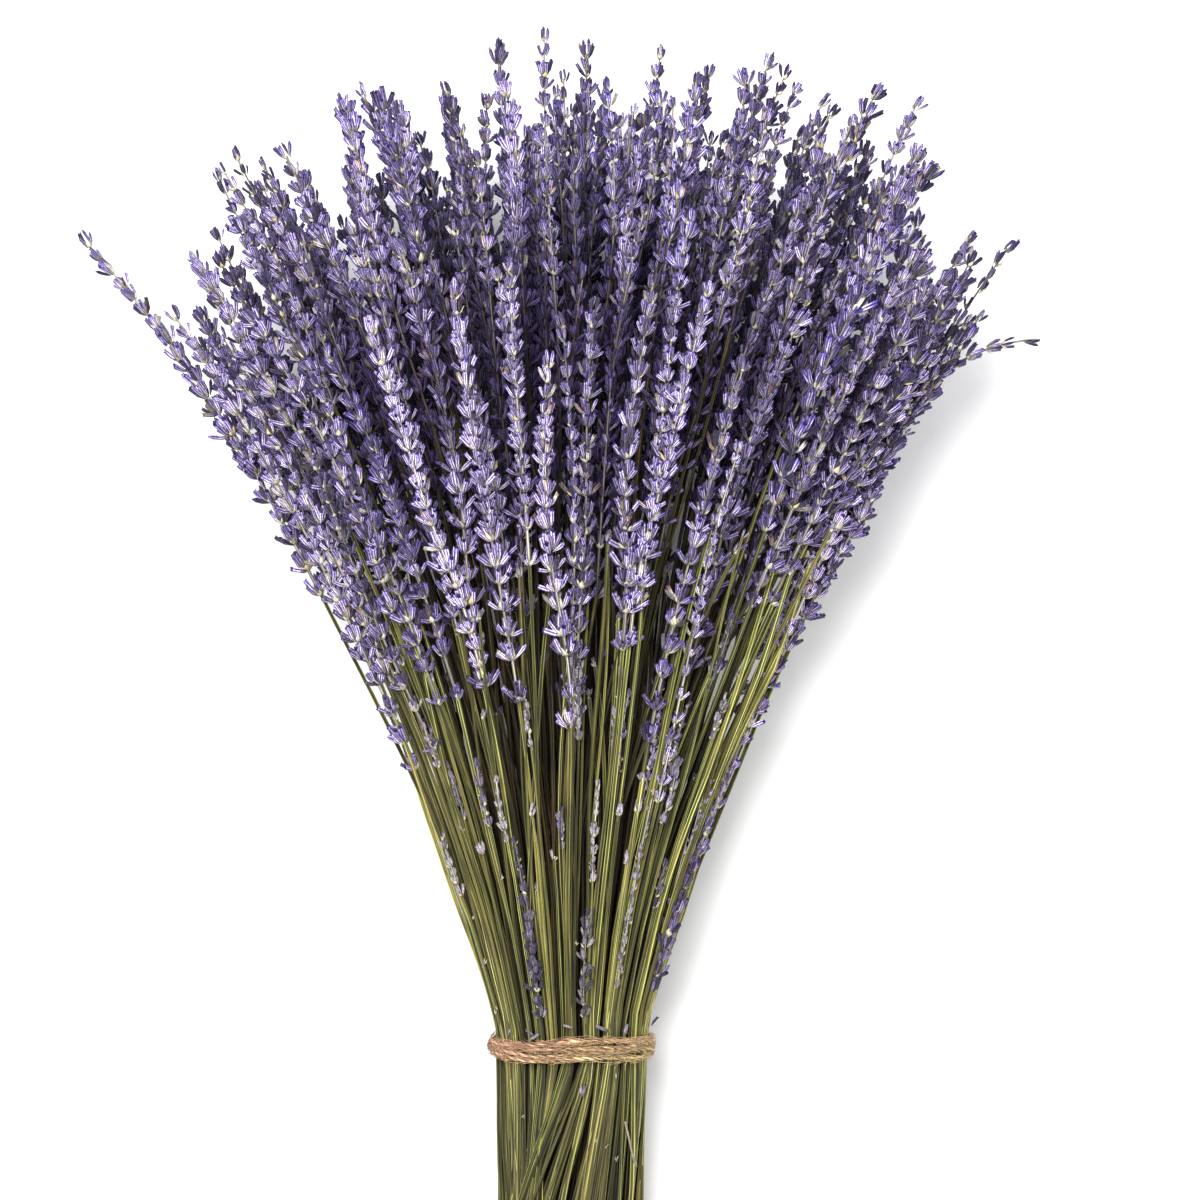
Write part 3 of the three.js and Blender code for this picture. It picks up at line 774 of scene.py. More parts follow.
def turned_pattern(sides: int, rings: Sequence[tuple[float, float, float]], teeth: dict[int, float],
                   finish: int, grow: float = 0.0) -> Pattern:
    """A closed shape pulled up from a disc, ring by ring.

    Args:
        sides: Number of corners round it.
        rings: Height, radius and place along the grain of each ring, upwards. The last is closed flat.
        teeth: For a ring's number, how far every other corner is pushed up.
        finish: Number of its finish.
        grow: How far the tip leans over, in millimetres.

    Returns:
        The shape, with its grain running up it.
    """
    deselect()
    height, radius, _ = rings[0]
    bpy.ops.mesh.primitive_circle_add(
        vertices=sides, radius=radius * MM, fill_type="NGON", location=(0, 0, height * MM)
    )
    blank = bpy.context.object
    bpy.ops.object.mode_set(mode="EDIT")
    for (z0, r0, _), (z1, r1, _) in zip(rings, rings[1:], strict=False):
        bpy.ops.mesh.extrude_region_move(TRANSFORM_OT_translate={"value": (0, 0, (z1 - z0) * MM)})
        bpy.ops.transform.resize(value=(r1 / r0, r1 / r0, 1), center_override=(0, 0, z1 * MM))
    bpy.ops.mesh.select_all(action="SELECT")
    bpy.ops.mesh.normals_make_consistent(inside=False)
    shell = bmesh.from_edit_mesh(blank.data)
    shell.verts.ensure_lookup_table()
    points = np.array([v.co[:] for v in shell.verts]) / MM
    faces = [[v.index for v in f.verts] for f in shell.faces]
    bpy.ops.object.mode_set(mode="OBJECT")
    bpy.data.objects.remove(blank, do_unlink=True)
    ring_of = np.arange(len(points)) // sides
    order = np.arange(len(points)) % sides
    for ring, lift in teeth.items():
        points[(ring_of == ring) & (order % 2 == 0), 2] += lift
    along = np.array([ring[2] for ring in rings])[ring_of]
    around = np.arctan2(points[:, 1], points[:, 0]) / (2 * np.pi)
    top = max(ring[0] for ring in rings)
    points[:, 0] -= grow * (np.maximum(points[:, 2], 0.0) / top) ** 1.6
    uv = []
    for face in faces:
        turns = around[face]
        turns = np.where(turns < turns.max() - 0.5, turns + 1.0, turns)
        uv.extend(zip(turns, along[face], strict=True))
    return Pattern(points, np.concatenate(faces), np.array([len(f) for f in faces]), np.array(uv), finish)


def swept_pattern(centres: Array, across: Array, over: Array, radii: Array,
                  profile: Array, finish: int, length_scale: float = 0.1) -> Pattern:
    """A closed rod along a line.

    Args:
        centres: The line's points, in millimetres.
        across: A direction across the line at each point.
        over: The other direction across it.
        radii: The rod's radius at each point.
        profile: The section's corners, for radius 1.
        finish: Number of its finish.
        length_scale: How much the grain advances for each millimetre.

    Returns:
        The rod, with its grain running along it.
    """
    rings, sides = len(centres), len(profile)
    spread = across[:, None] * profile[None, :, :1] + over[:, None] * profile[None, :, 1:]
    points = (centres[:, None] + spread * radii[:, None, None]).reshape(-1, 3)
    k, j = np.meshgrid(np.arange(rings - 1), np.arange(sides), indexing="ij")
    nxt = (j + 1) % sides
    quads = np.stack([k * sides + j, k * sides + nxt, (k + 1) * sides + nxt, (k + 1) * sides + j], axis=-1)
    run = run_along(centres) * length_scale
    u0, u1 = j / sides, (j + 1) / sides
    corner_u = np.stack([u0, u1, u1, u0], axis=-1).reshape(-1)
    corner_v = np.stack([run[k], run[k], run[k + 1], run[k + 1]], axis=-1).reshape(-1)
    bottom = np.arange(sides)
    loops = np.concatenate([quads.reshape(-1), bottom[::-1], (rings - 1) * sides + bottom])
    ends = np.stack([np.full(2 * sides, 0.5), np.repeat([run[0], run[-1]], sides)], axis=1)
    uv = np.concatenate([np.stack([corner_u, corner_v], axis=1), ends])
    sizes = np.concatenate([np.full(len(k.ravel()), 4), [sides, sides]])
    return Pattern(points, loops, sizes, uv, finish)


HERE = np.concatenate([np.eye(3), np.zeros((3, 1))], axis=1)[None]

# ---- Finishes ----


class Nodes:
    """Adds nodes to a tree and joins them, a short call for each."""

    FIRST_COLOUR = 6

    def __init__(self, tree: bpy.types.NodeTree) -> None:
        """Works on one tree."""
        self.tree = tree

    def add(self, kind: str, inputs: dict | None = None, **settings: object) -> bpy.types.Node:
        """Adds a node.

        Args:
            kind: The node's type, without the words ShaderNode.
            inputs: What goes into its sockets: a socket joins, anything else is a value.
            settings: Its own settings.

        Returns:
            The node.
        """
        node = self.tree.nodes.new("ShaderNode" + kind)
        for key, value in settings.items():
            setattr(node, key, value)
        for key, value in (inputs or {}).items():
            self.plug(node.inputs[key], value)
        return node

    def plug(self, taker: Socket, value: object) -> None:
        """Joins a socket to the one that takes it, or sets that one to a plain value."""
        if isinstance(value, Socket):
            self.tree.links.new(value, taker)
        else:
            taker.default_value = value

    def maths(self, operation: str, *values: object, clamp: bool = False) -> Socket:
        """The result of a sum on numbers or sockets."""
        node = self.add("Math", dict(enumerate(values)), operation=operation, use_clamp=clamp)
        return node.outputs[0]

    def times(self, first: object, second: object) -> Socket:
        """One number or socket times another."""
        return self.maths("MULTIPLY", first, second)

    def line(self, value: object, slope: float, start: float, clamp: bool = False) -> Socket:
        """A start plus so much for each unit of a value."""
        return self.maths("MULTIPLY_ADD", value, slope, start, clamp=clamp)

    def mix(self, share: object, first: object, second: object, blend: str = "MIX") -> Socket:
        """A mix of two colours."""
        node = self.add("Mix", {0: share}, data_type="RGBA", blend_type=blend)
        self.plug(node.inputs[self.FIRST_COLOUR], first)
        self.plug(node.inputs[self.FIRST_COLOUR + 1], second)
        return node.outputs[2]

    def shaded(self, colour: Socket, shade: Socket) -> Socket:
        """A colour times a brightness."""
        grey = self.add("CombineColor", {0: shade, 1: shade, 2: shade})
        return self.mix(1.0, colour, grey.outputs[0], "MULTIPLY")

    def ramp(self, share: Socket, stops: Sequence[tuple[float, tuple]]) -> Socket:
        """A colour read from a row of stops."""
        node = self.add("ValToRGB", {"Fac": share})
        for place, _ in stops[2:]:
            node.color_ramp.elements.new(place)
        for element, (place, colour) in zip(node.color_ramp.elements, stops, strict=True):
            element.position = place
            element.color = colour
        return node.outputs[0]

    def fade(self, value: Socket, low: float, high: float) -> Socket:
        """A smooth rise from 0 to 1 between two values."""
        span = {"Value": value, "From Min": low, "From Max": high}
        return self.add("MapRange", span, interpolation_type="SMOOTHSTEP").outputs["Result"]

    def grain(self) -> tuple[Socket, Socket]:
        """The place across and along the grain."""
        spot = self.add("UVMap", uv_map=WEAVE_UV)
        parts = self.add("SeparateXYZ", {0: spot.outputs[0]})
        return parts.outputs[0], parts.outputs[1]

    def tints(self) -> tuple[Socket, Socket, Socket]:
        """The piece's own tone, hue and wear; on the twine the third holds painted shade in its crevices."""
        spot = self.add("Attribute", attribute_name=TINT_AND_SHADE)
        parts = self.add("SeparateColor", {0: spot.outputs["Color"]})
        return parts.outputs[0], parts.outputs[1], parts.outputs[2]

    def paint_inner_shade(self, colour: Socket, dark: tuple) -> Socket:
        """Paints shade inside the bunch: darkens a colour towards a shade colour, the deeper inside the more.
        """
        spot = self.add("Attribute", attribute_name=TINT_AND_SHADE)
        # Painted shade: white at the bundle's outside, the shade colour deep inside.
        dim = self.mix(spot.outputs["Alpha"], dark, (1.0, 1.0, 1.0, 1.0))
        return self.mix(1.0, colour, dim, "MULTIPLY")

    def group(self, tree: bpy.types.NodeTree, inputs: dict[str, object]) -> bpy.types.Node:
        """Adds a shared effect."""
        return self.add("Group", inputs, node_tree=tree)

    def noise(self, place: bpy.types.Node, detail: float) -> Socket:
        """A noise that is read at a stretched place."""
        node = self.add("TexNoise", {"Vector": place.outputs[0], "Scale": 1.0, "Detail": detail})
        return node.outputs["Fac"]

    def mottle(self, effects: SharedEffects, clouds: float, specks: float) -> tuple[Socket, Socket]:
        """Soft clouds and fine specks, so many to a metre."""
        node = self.group(effects.mottle, {"Clouds": clouds, "Specks": specks})
        return node.outputs["Cloud"], node.outputs["Speck"]

    def engrave(self, effects: SharedEffects, shader: bpy.types.Node, coarse: Socket, fine: Socket,
                depths: tuple[float, float]) -> None:
        """Gives a surface its relief.

        Args:
            effects: The shared effects.
            shader: The surface's shader.
            coarse: The coarse relief's height.
            fine: The fine relief's height.
            depths: How deep the two are, in metres.
        """
        node = self.group(effects.relief, {
            "Coarse": coarse, "Fine": fine, "Coarse depth": depths[0], "Fine depth": depths[1],
        })
        self.plug(shader.inputs["Normal"], node.outputs[0])


class SharedEffects:
    """The effects that several finishes use, each one a group of nodes."""

    NUMBER = "NodeSocketFloat"

    def __init__(self) -> None:
        """Makes the groups."""
        self.ribs = self.make_ribs()
        self.mottle = self.make_mottle()
        self.relief = self.make_relief()

    @staticmethod
    def open_group(name: str, inputs: dict[str, float], outputs: dict[str, str]) -> tuple[Nodes, dict, dict]:
        """Starts a group.

        Args:
            name: The group's name.
            inputs: Each number that it takes, with its usual value.
            outputs: Each result, with its kind of socket.

        Returns:
            Its nodes, the sockets of its inputs and those of its outputs.
        """
        tree = bpy.data.node_groups.new(name, "ShaderNodeTree")
        for key, value in inputs.items():
            socket = tree.interface.new_socket(key, in_out="INPUT", socket_type="NodeSocketFloat")
            socket.default_value = value
        for key, kind in outputs.items():
            tree.interface.new_socket(key, in_out="OUTPUT", socket_type=kind)
        start, end = tree.nodes.new("NodeGroupInput"), tree.nodes.new("NodeGroupOutput")
        return Nodes(tree), {s.name: s for s in start.outputs}, {s.name: s for s in end.inputs}

    def make_ribs(self) -> bpy.types.NodeTree:
        """Ridges side by side: 1 on a ridge and 0 in a groove."""
        nodes, taken, given = self.open_group("Ribs", {"Across": 0.0, "Count": 6.0}, {"Ridge": self.NUMBER})
        turn = nodes.times(nodes.times(taken["Across"], taken["Count"]), 2 * math.pi)
        wave = nodes.line(nodes.maths("COSINE", turn), 0.5, 0.5)
        nodes.plug(given["Ridge"], wave)
        return nodes.tree

    def make_mottle(self) -> bpy.types.NodeTree:
        """Soft clouds and fine specks, at the object's own scale."""
        nodes, taken, given = self.open_group(
            "Mottle", {"Clouds": 80.0, "Specks": 900.0}, {"Cloud": self.NUMBER, "Speck": self.NUMBER}
        )
        place = nodes.add("TexCoord").outputs["Object"]
        cloud = nodes.add("TexNoise", {"Vector": place, "Scale": taken["Clouds"], "Detail": 3.0})
        speck = nodes.add("TexNoise", {"Vector": place, "Scale": taken["Specks"], "Detail": 2.0})
        nodes.plug(given["Cloud"], cloud.outputs["Fac"])
        nodes.plug(given["Speck"], speck.outputs["Fac"])
        return nodes.tree

    def make_relief(self) -> bpy.types.NodeTree:
        """The normal of a surface with a coarse relief and a fine one."""
        nodes, taken, given = self.open_group(
            "Relief", {"Coarse": 0.5, "Fine": 0.5, "Coarse depth": 0.0001, "Fine depth": 0.00003},
            {"Normal": "NodeSocketVector"},
        )
        under = {}
        for size in ("Coarse", "Fine"):
            height = {"Height": taken[size], "Distance": taken[size + " depth"], "Strength": 1.0}
            under = {"Normal": nodes.add("Bump", height | under).outputs[0]}
        nodes.plug(given["Normal"], under["Normal"])
        return nodes.tree


def blank_material(name: str, roughness: float, sheen: float = 0.0) -> tuple[Material, Nodes, bpy.types.Node]:
    """A material with its shader in place.

    Args:
        name: The material's name.
        roughness: The shader's roughness.
        sheen: The weight of its sheen.

    Returns:
        The material, its nodes and its shader.
    """
    material = bpy.data.materials.new(name)
    material.use_nodes = True
    shader = material.node_tree.nodes["Principled BSDF"]
    shader.inputs["Roughness"].default_value = roughness
    shader.inputs["Sheen Weight"].default_value = sheen
    shader.inputs["Sheen Roughness"].default_value = 0.5
    shader.inputs["Specular IOR Level"].default_value = 0.3
    return material, Nodes(material.node_tree), shader


@dataclass(frozen=True)
class CalyxFinish:
    """The ribbed, downy cup of a floret: cream at its foot, lilac along its ribs, violet at its mouth."""

    foot: tuple = linear(222, 212, 178)
    lower: tuple = linear(204, 192, 200)
    body: tuple = linear(174, 156, 198)
    upper: tuple = linear(136, 108, 184)
    rim: tuple = linear(216, 202, 234)
    mouth: tuple = linear(56, 38, 118)
    ridge: tuple = linear(234, 226, 238)
    groove: tuple = linear(38, 18, 76)
    violet: tuple = linear(78, 48, 172)
    dry: tuple = linear(146, 142, 122)
    rust: tuple = linear(122, 80, 52)
    # Painted shade inside the cup's mouth: near black.
    hollow_shade: tuple = linear(12, 6, 26)
    # Colour that painted shade darkens the calyces towards, deep inside the bunch.
    deep: tuple = (0.14, 0.08, 0.21, 1.0)
    ribs: float = 5.0
    mottle: tuple[float, float] = (260.0, 1700.0)
    depths: tuple[float, float] = (0.0003, 0.00008)

    def make(self, effects: SharedEffects) -> Material:
        """Makes the material."""
        material, nodes, shader = blank_material("dried_calyx", 0.7, 0.22)
        across, along = nodes.grain()
        tone, hue, wear = nodes.tints()
        cloud, speck = nodes.mottle(effects, *self.mottle)
        ridge = nodes.group(effects.ribs, {"Across": across, "Count": self.ribs}).outputs[0]
        colour = nodes.ramp(along, [
            (0.0, self.foot), (0.16, self.lower), (0.46, self.body), (0.82, self.upper), (0.92, self.rim),
            (1.0, self.mouth),
        ])
        violet = nodes.times(hue, nodes.fade(along, 0.1, 0.8))
        colour = nodes.mix(violet, colour, self.violet)
        # Darker grooves between the ribs: their own colour, partly painted shade.
        groove_tone_and_shade = nodes.times(nodes.fade(ridge, 0.6, 0.1), nodes.fade(along, 0.02, 0.3))
        groove_tone_and_shade = nodes.times(groove_tone_and_shade, nodes.line(tone, -0.14, 0.98))
        colour = nodes.mix(groove_tone_and_shade, colour, self.groove)
        colour = nodes.mix(nodes.fade(wear, 0.08, 0.62), colour, self.dry)
        worn = nodes.times(nodes.fade(wear, 0.5, 0.9), nodes.fade(cloud, 0.35, 0.6))
        colour = nodes.mix(worn, colour, self.rust)
        paleness_and_light = nodes.line(tone, 1.05, -0.04, clamp=True)
        paleness_and_light = nodes.times(paleness_and_light, nodes.fade(along, 1.02, 0.55))
        # Pale ribs: their own paler colour, partly painted highlight.
        pale_ridge_and_highlight = nodes.times(nodes.fade(ridge, 0.5, 0.95), paleness_and_light)
        colour = nodes.mix(pale_ridge_and_highlight, colour, self.ridge)
        shade = nodes.line(tone, 1.64, 0.15)
        shade = nodes.times(shade, nodes.line(speck, 2.4, -0.18))
        colour = nodes.shaded(colour, shade)
        # Painted shade: the inside of the cup's mouth darkens to near black.
        colour = nodes.mix(nodes.fade(along, 1.0, 1.12), colour, self.hollow_shade)
        # Painted shade deep inside the bunch.
        nodes.plug(shader.inputs["Base Color"], nodes.paint_inner_shade(colour, self.deep))
        shader.inputs["Sheen Tint"].default_value = linear(214, 200, 252)
        nodes.engrave(effects, shader, ridge, speck, self.depths)
        return material


@dataclass(frozen=True)
class PetalFinish:
    """The shrivelled blue-violet petals that stick out of some cups."""

    deep: tuple = linear(52, 38, 112)
    bright: tuple = linear(98, 82, 172)
    pale: tuple = linear(168, 154, 214)
    mottle: tuple[float, float] = (700.0, 3000.0)
    depths: tuple[float, float] = (0.0003, 0.00008)

    def make(self, effects: SharedEffects) -> Material:
        """Makes the material."""
        material, nodes, shader = blank_material("dried_petal", 0.7, 0.2)
        _, along = nodes.grain()
        tone, _, _ = nodes.tints()
        cloud, speck = nodes.mottle(effects, *self.mottle)
        colour = nodes.mix(nodes.fade(cloud, 0.35, 0.65), self.deep, self.bright)
        colour = nodes.mix(nodes.times(tone, nodes.fade(along, 0.4, 1.0)), colour, self.pale)
        # Painted shade deep inside the bunch, as on the calyces.
        nodes.plug(shader.inputs["Base Color"], nodes.paint_inner_shade(colour, CalyxFinish.deep))
        nodes.engrave(effects, shader, cloud, speck, self.depths)
        return material


@dataclass(frozen=True)
class BractFinish:
    """The small dry leaves under a whorl: straw to olive yellow, some gone to rust."""

    straw: tuple = linear(208, 200, 172)
    olive: tuple = linear(216, 190, 92)
    rust: tuple = linear(112, 74, 48)
    vein: tuple = linear(240, 234, 214)
    ribs: float = 5.0
    mottle: tuple[float, float] = (400.0, 2600.0)
    depths: tuple[float, float] = (0.0001, 0.00006)

    def make(self, effects: SharedEffects) -> Material:
        """Makes the material."""
        material, nodes, shader = blank_material("dry_bract", 0.75, 0.15)
        across, _ = nodes.grain()
        tone, hue, wear = nodes.tints()
        cloud, speck = nodes.mottle(effects, *self.mottle)
        ridge = nodes.group(effects.ribs, {"Across": across, "Count": self.ribs}).outputs[0]
        colour = nodes.mix(nodes.fade(hue, 0.66, 0.92), self.straw, self.olive)
        colour = nodes.mix(nodes.times(wear, nodes.fade(cloud, 0.3, 0.6)), colour, self.rust)
        colour = nodes.mix(nodes.times(ridge, nodes.times(tone, 0.5)), colour, self.vein)
        # Painted shade deep inside the bunch, as on the stems.
        nodes.plug(shader.inputs["Base Color"], nodes.paint_inner_shade(colour, StemFinish.deep))
        nodes.engrave(effects, shader, ridge, speck, self.depths)
        return material


@dataclass(frozen=True)
class StemFinish:
    """A square dried stem: pale ridges at its corners and darker, streaked grooves between them."""

    groove: tuple = linear(34, 34, 12)
    face: tuple = linear(124, 134, 50)
    ridge: tuple = linear(226, 230, 138)
    yellow: tuple = linear(184, 168, 88)
    brown: tuple = linear(84, 66, 54)
    # Colour that painted shade darkens the stems towards, deep inside the bunch.
    deep: tuple = (0.18, 0.125, 0.14, 1.0)
    name: str = "green_stem"
    corners: float = 4.0
    mottle: tuple[float, float] = (60.0, 1600.0)
    depths: tuple[float, float] = (0.0003, 0.00004)

    def make(self, effects: SharedEffects) -> Material:
        """Makes the material."""
        material, nodes, shader = blank_material(self.name, 0.6, 0.04)
        across, along = nodes.grain()
        tone, hue, wear = nodes.tints()
        cloud, speck = nodes.mottle(effects, *self.mottle)
        place = nodes.add("CombineXYZ", {
            0: nodes.times(across, 22.0), 1: nodes.times(along, 0.5), 2: nodes.times(tone, 40.0),
        })
        streak = nodes.noise(place, 3.0)
        ridge = nodes.group(effects.ribs, {"Across": across, "Count": self.corners}).outputs[0]
        colour = nodes.mix(nodes.fade(streak, 0.3, 0.7), self.groove, self.face)
        # Darker between the ridges: the grooves' own colour, partly painted shade.
        colour = nodes.mix(nodes.fade(ridge, 0.62, 0.14), colour, self.groove)
        # Pale ridge lines: the stem's paler corners, partly painted highlight.
        pale_ridge_and_highlight = nodes.times(nodes.fade(ridge, 0.72, 0.98), nodes.line(tone, 0.9, 0.1))
        colour = nodes.mix(pale_ridge_and_highlight, colour, self.ridge)
        dried = nodes.times(hue, nodes.line(nodes.fade(cloud, 0.3, 0.7), 0.5, 0.2))
        colour = nodes.mix(dried, colour, self.yellow)
        browned = nodes.times(wear, nodes.fade(streak, 0.6, 0.35))
        colour = nodes.mix(browned, colour, self.brown)
        shade = nodes.times(nodes.line(tone, 1.3, 0.18), nodes.line(streak, 2.2, -0.1))
        colour = nodes.shaded(colour, shade)
        # Painted shade deep inside the bunch.
        nodes.plug(shader.inputs["Base Color"], nodes.paint_inner_shade(colour, self.deep))
        nodes.engrave(effects, shader, streak, speck, self.depths)
        return material


@dataclass(frozen=True)
class TwineFinish:
    """Twisted jute: fine hairs along each strand, pinkish tan in places and straw in others."""

    # Colour of the painted shade in the crevices between strands and turns, also of the darker lying hairs.
    gap: tuple = linear(40, 22, 12)
    deep: tuple = linear(126, 80, 50)
    pink: tuple = linear(250, 192, 158)
    straw: tuple = linear(252, 224, 158)
    pale: tuple = linear(252, 236, 204)
    mottle: tuple[float, float] = (90.0, 2400.0)
    depths: tuple[float, float] = (0.0004, 0.0001)

    def make(self, effects: SharedEffects) -> Material:
        """Makes the material."""
        material, nodes, shader = blank_material("jute_twine", 0.85, 0.3)
        across, along = nodes.grain()
        tone, hue, hollow_shade = nodes.tints()
        cloud, speck = nodes.mottle(effects, *self.mottle)
        place = nodes.add("CombineXYZ", {
            0: nodes.times(nodes.maths("ADD", across, nodes.times(along, 0.3)), 8.0),
            1: nodes.times(along, 2.0), 2: nodes.times(tone, 30.0),
        })
        hair = nodes.noise(place, 4.0)
        shift = nodes.maths("ADD", hue, nodes.line(cloud, 0.9, -0.45), clamp=True)
        base = nodes.mix(shift, self.pink, self.straw)
        colour = nodes.mix(nodes.fade(hair, 0.34, 0.54), self.deep, base)
        colour = nodes.mix(nodes.fade(hair, 0.55, 0.75), colour, self.pale)
        shade = nodes.line(tone, 0.66, 0.7)
        shade = nodes.times(shade, nodes.line(speck, 1.8, 0.1))
        colour = nodes.shaded(colour, shade)
        # Painted shade in the crevices between strands and turns, and the darker lying hairs.
        colour = nodes.mix(nodes.times(hollow_shade, 0.95), colour, self.gap)
        nodes.plug(shader.inputs["Base Color"], colour)
        shader.inputs["Sheen Tint"].default_value = linear(250, 226, 190)
        nodes.engrave(effects, shader, hair, speck, self.depths)
        return material


@dataclass(frozen=True)
class FloorFinish:
    """The plain pale tabletop."""

    light: tuple = linear(250, 250, 250)
    dim: tuple = linear(246, 246, 247)
    mottle: tuple[float, float] = (3.0, 60.0)

    def make(self, effects: SharedEffects) -> Material:
        """Makes the material."""
        material, nodes, shader = blank_material("pale_table", 0.9)
        cloud, _ = nodes.mottle(effects, *self.mottle)
        colour = nodes.mix(cloud, self.light, self.dim)
        nodes.plug(shader.inputs["Base Color"], colour)
        return material


@dataclass
class Finishes:
    """Every finish of the bunch, made once."""

    calyx: Material
    petal: Material
    bract: Material
    stem: Material
    rachis: Material
    twine: Material
    floor: Material

    CALYX, PETAL, BRACT, RACHIS = range(4)

    @classmethod
    def make(cls) -> Finishes:
        """Makes them all."""
        effects = SharedEffects()
        rachis = StemFinish(
            groove=linear(112, 104, 96), face=linear(176, 168, 158), ridge=linear(236, 230, 222),
            yellow=linear(196, 190, 146), brown=linear(120, 100, 112), name="spike_axis",
        )
        kinds = (
            CalyxFinish(), PetalFinish(), BractFinish(), StemFinish(), rachis, TwineFinish(), FloorFinish(),
        )
        return cls(*(kind.make(effects) for kind in kinds))

    def for_spikes(self) -> list[Material]:
        """The finishes of a spike's parts, in the order that their patterns number them."""
        return [self.calyx, self.petal, self.bract, self.rachis]


# ---- Spikes ----


@dataclass(frozen=True)
class WhorlHabit:
    """How a spike's whorls are made up.

    Attributes:
        outer: Fewest and most calyces of the lower tier.
        inner: Fewest and most calyces of the upper tier.
        outer_tilt: How far the lower tier leans out, in degrees, least and most.
        inner_tilt: How far the upper tier leans out, in degrees, least and most.
        pitch: Distance between whorls, at the foot of the spike and at its tip.
        size: How large its calyces are.
    """

    outer: tuple[int, int]
    inner: tuple[int, int]
    outer_tilt: tuple[float, float]
    inner_tilt: tuple[float, float]
    pitch: tuple[float, float]
    size: float


HABITS = {
    Habit.FULL: WhorlHabit((6, 8), (3, 5), (30, 74), (2, 34), (9.6, 6.1), 1.2),
    Habit.SLENDER: WhorlHabit((4, 6), (1, 3), (22, 62), (0, 28), (8.2, 5.8), 1.1),
    Habit.WISP: WhorlHabit((2, 4), (0, 2), (12, 34), (4, 12), (4.0, 3.6), 0.98),
    Habit.STOUT: WhorlHabit((5, 7), (2, 3), (20, 50), (4, 22), (4.9, 4.4), 0.92),
    Habit.BARE: WhorlHabit((3, 6), (0, 2), (12, 34), (2, 12), (30.0, 30.0), 0.74),
}


LOW_HABITS = (Habit.WISP, Habit.STOUT)


@dataclass
class FloretKit:
    """The small shapes that every spike is made of, each modelled once."""

    calyces: list[Pattern] = field(default_factory=list)
    buds: list[Pattern] = field(default_factory=list)
    plain: list[Pattern] = field(default_factory=list)
    petals: list[Pattern] = field(default_factory=list)
    bracts: list[Pattern] = field(default_factory=list)
    variants: int = 4
    crumple: float = 0.07

    def build(self, rng: Rng) -> None:
        """Models a few versions of each shape, none of them quite alike."""
        cup = [(0.0, 0.22, 0.0), (2.0, 0.7, 0.42), (4.75, 0.74, 1.0), (4.1, 0.4, 1.16)]
        bud = [(0.0, 0.2, 0.0), (1.8, 0.54, 0.36), (3.9, 0.64, 0.76), (5.0, 0.2, 1.0)]
        plain = [(0.0, 0.22, 0.0), (2.8, 0.66, 0.56), (5.1, 0.56, 1.02)]
        petal = [(4.1, 0.44, 0.0), (5.3, 0.62, 0.6), (5.9, 0.26, 1.0)]
        bract = [(0.0, 0.36, 0.0), (1.2, 0.96, 0.5), (2.7, 0.12, 1.0)]
        kinds = (
            (self.calyces, 6, cup, {2: 0.38}, Finishes.CALYX, 1.0),
            (self.buds, 6, bud, {}, Finishes.CALYX, 1.0),
            (self.plain, 5, plain, {}, Finishes.CALYX, 1.0),
            (self.petals, 4, petal, {1: 0.4}, Finishes.PETAL, 2.6),
        )
        for i in range(self.variants):
            lean = 0.5 + 0.45 * i
            for shapes, sides, rings, teeth, finish, amount in kinds:
                shapes.append(self.crumpled(turned_pattern(sides, rings, teeth, finish, lean), rng, amount))
            leaf = turned_pattern(4, bract, {}, Finishes.BRACT, 0.9)
            leaf.points[:, 0] = leaf.points[:, 0] * 0.34
            self.bracts.append(self.crumpled(leaf, rng, 0.8))

    def crumpled(self, pattern: Pattern, rng: Rng, amount: float) -> Pattern:
        """Moves a pattern's corners a little, each its own way."""
        pattern.points += rng.uniform(-1, 1, pattern.points.shape) * self.crumple * amount
        pattern.points[:, 1] *= rng.uniform(0.86, 1.04)
        return pattern


@dataclass
class Tray:
    """Collects where each pattern goes before they are added to a heap."""

    rows: dict[int, tuple[Pattern, list, list]] = field(default_factory=dict)

    def put(self, pattern: Pattern, axes: Array, origin: Array, size: float, tint: Sequence[float]) -> None:
        """Lays one copy down.

        Args:
            pattern: What is copied.
            axes: Its three axes, as columns.
            origin: Where it stands, in millimetres.
            size: Its scale.
            tint: Its tone, hue and wear.
        """
        row = self.rows.setdefault(id(pattern), (pattern, [], []))
        row[1].append(np.concatenate([axes * size, origin[:, None]], axis=1))
        row[2].append((*tint, 1.0))

    def empty_into(self, heap: Heap) -> None:
        """Adds everything to a heap."""
        for pattern, places, tints in self.rows.values():
            heap.add(pattern, np.array(places), np.array(tints))


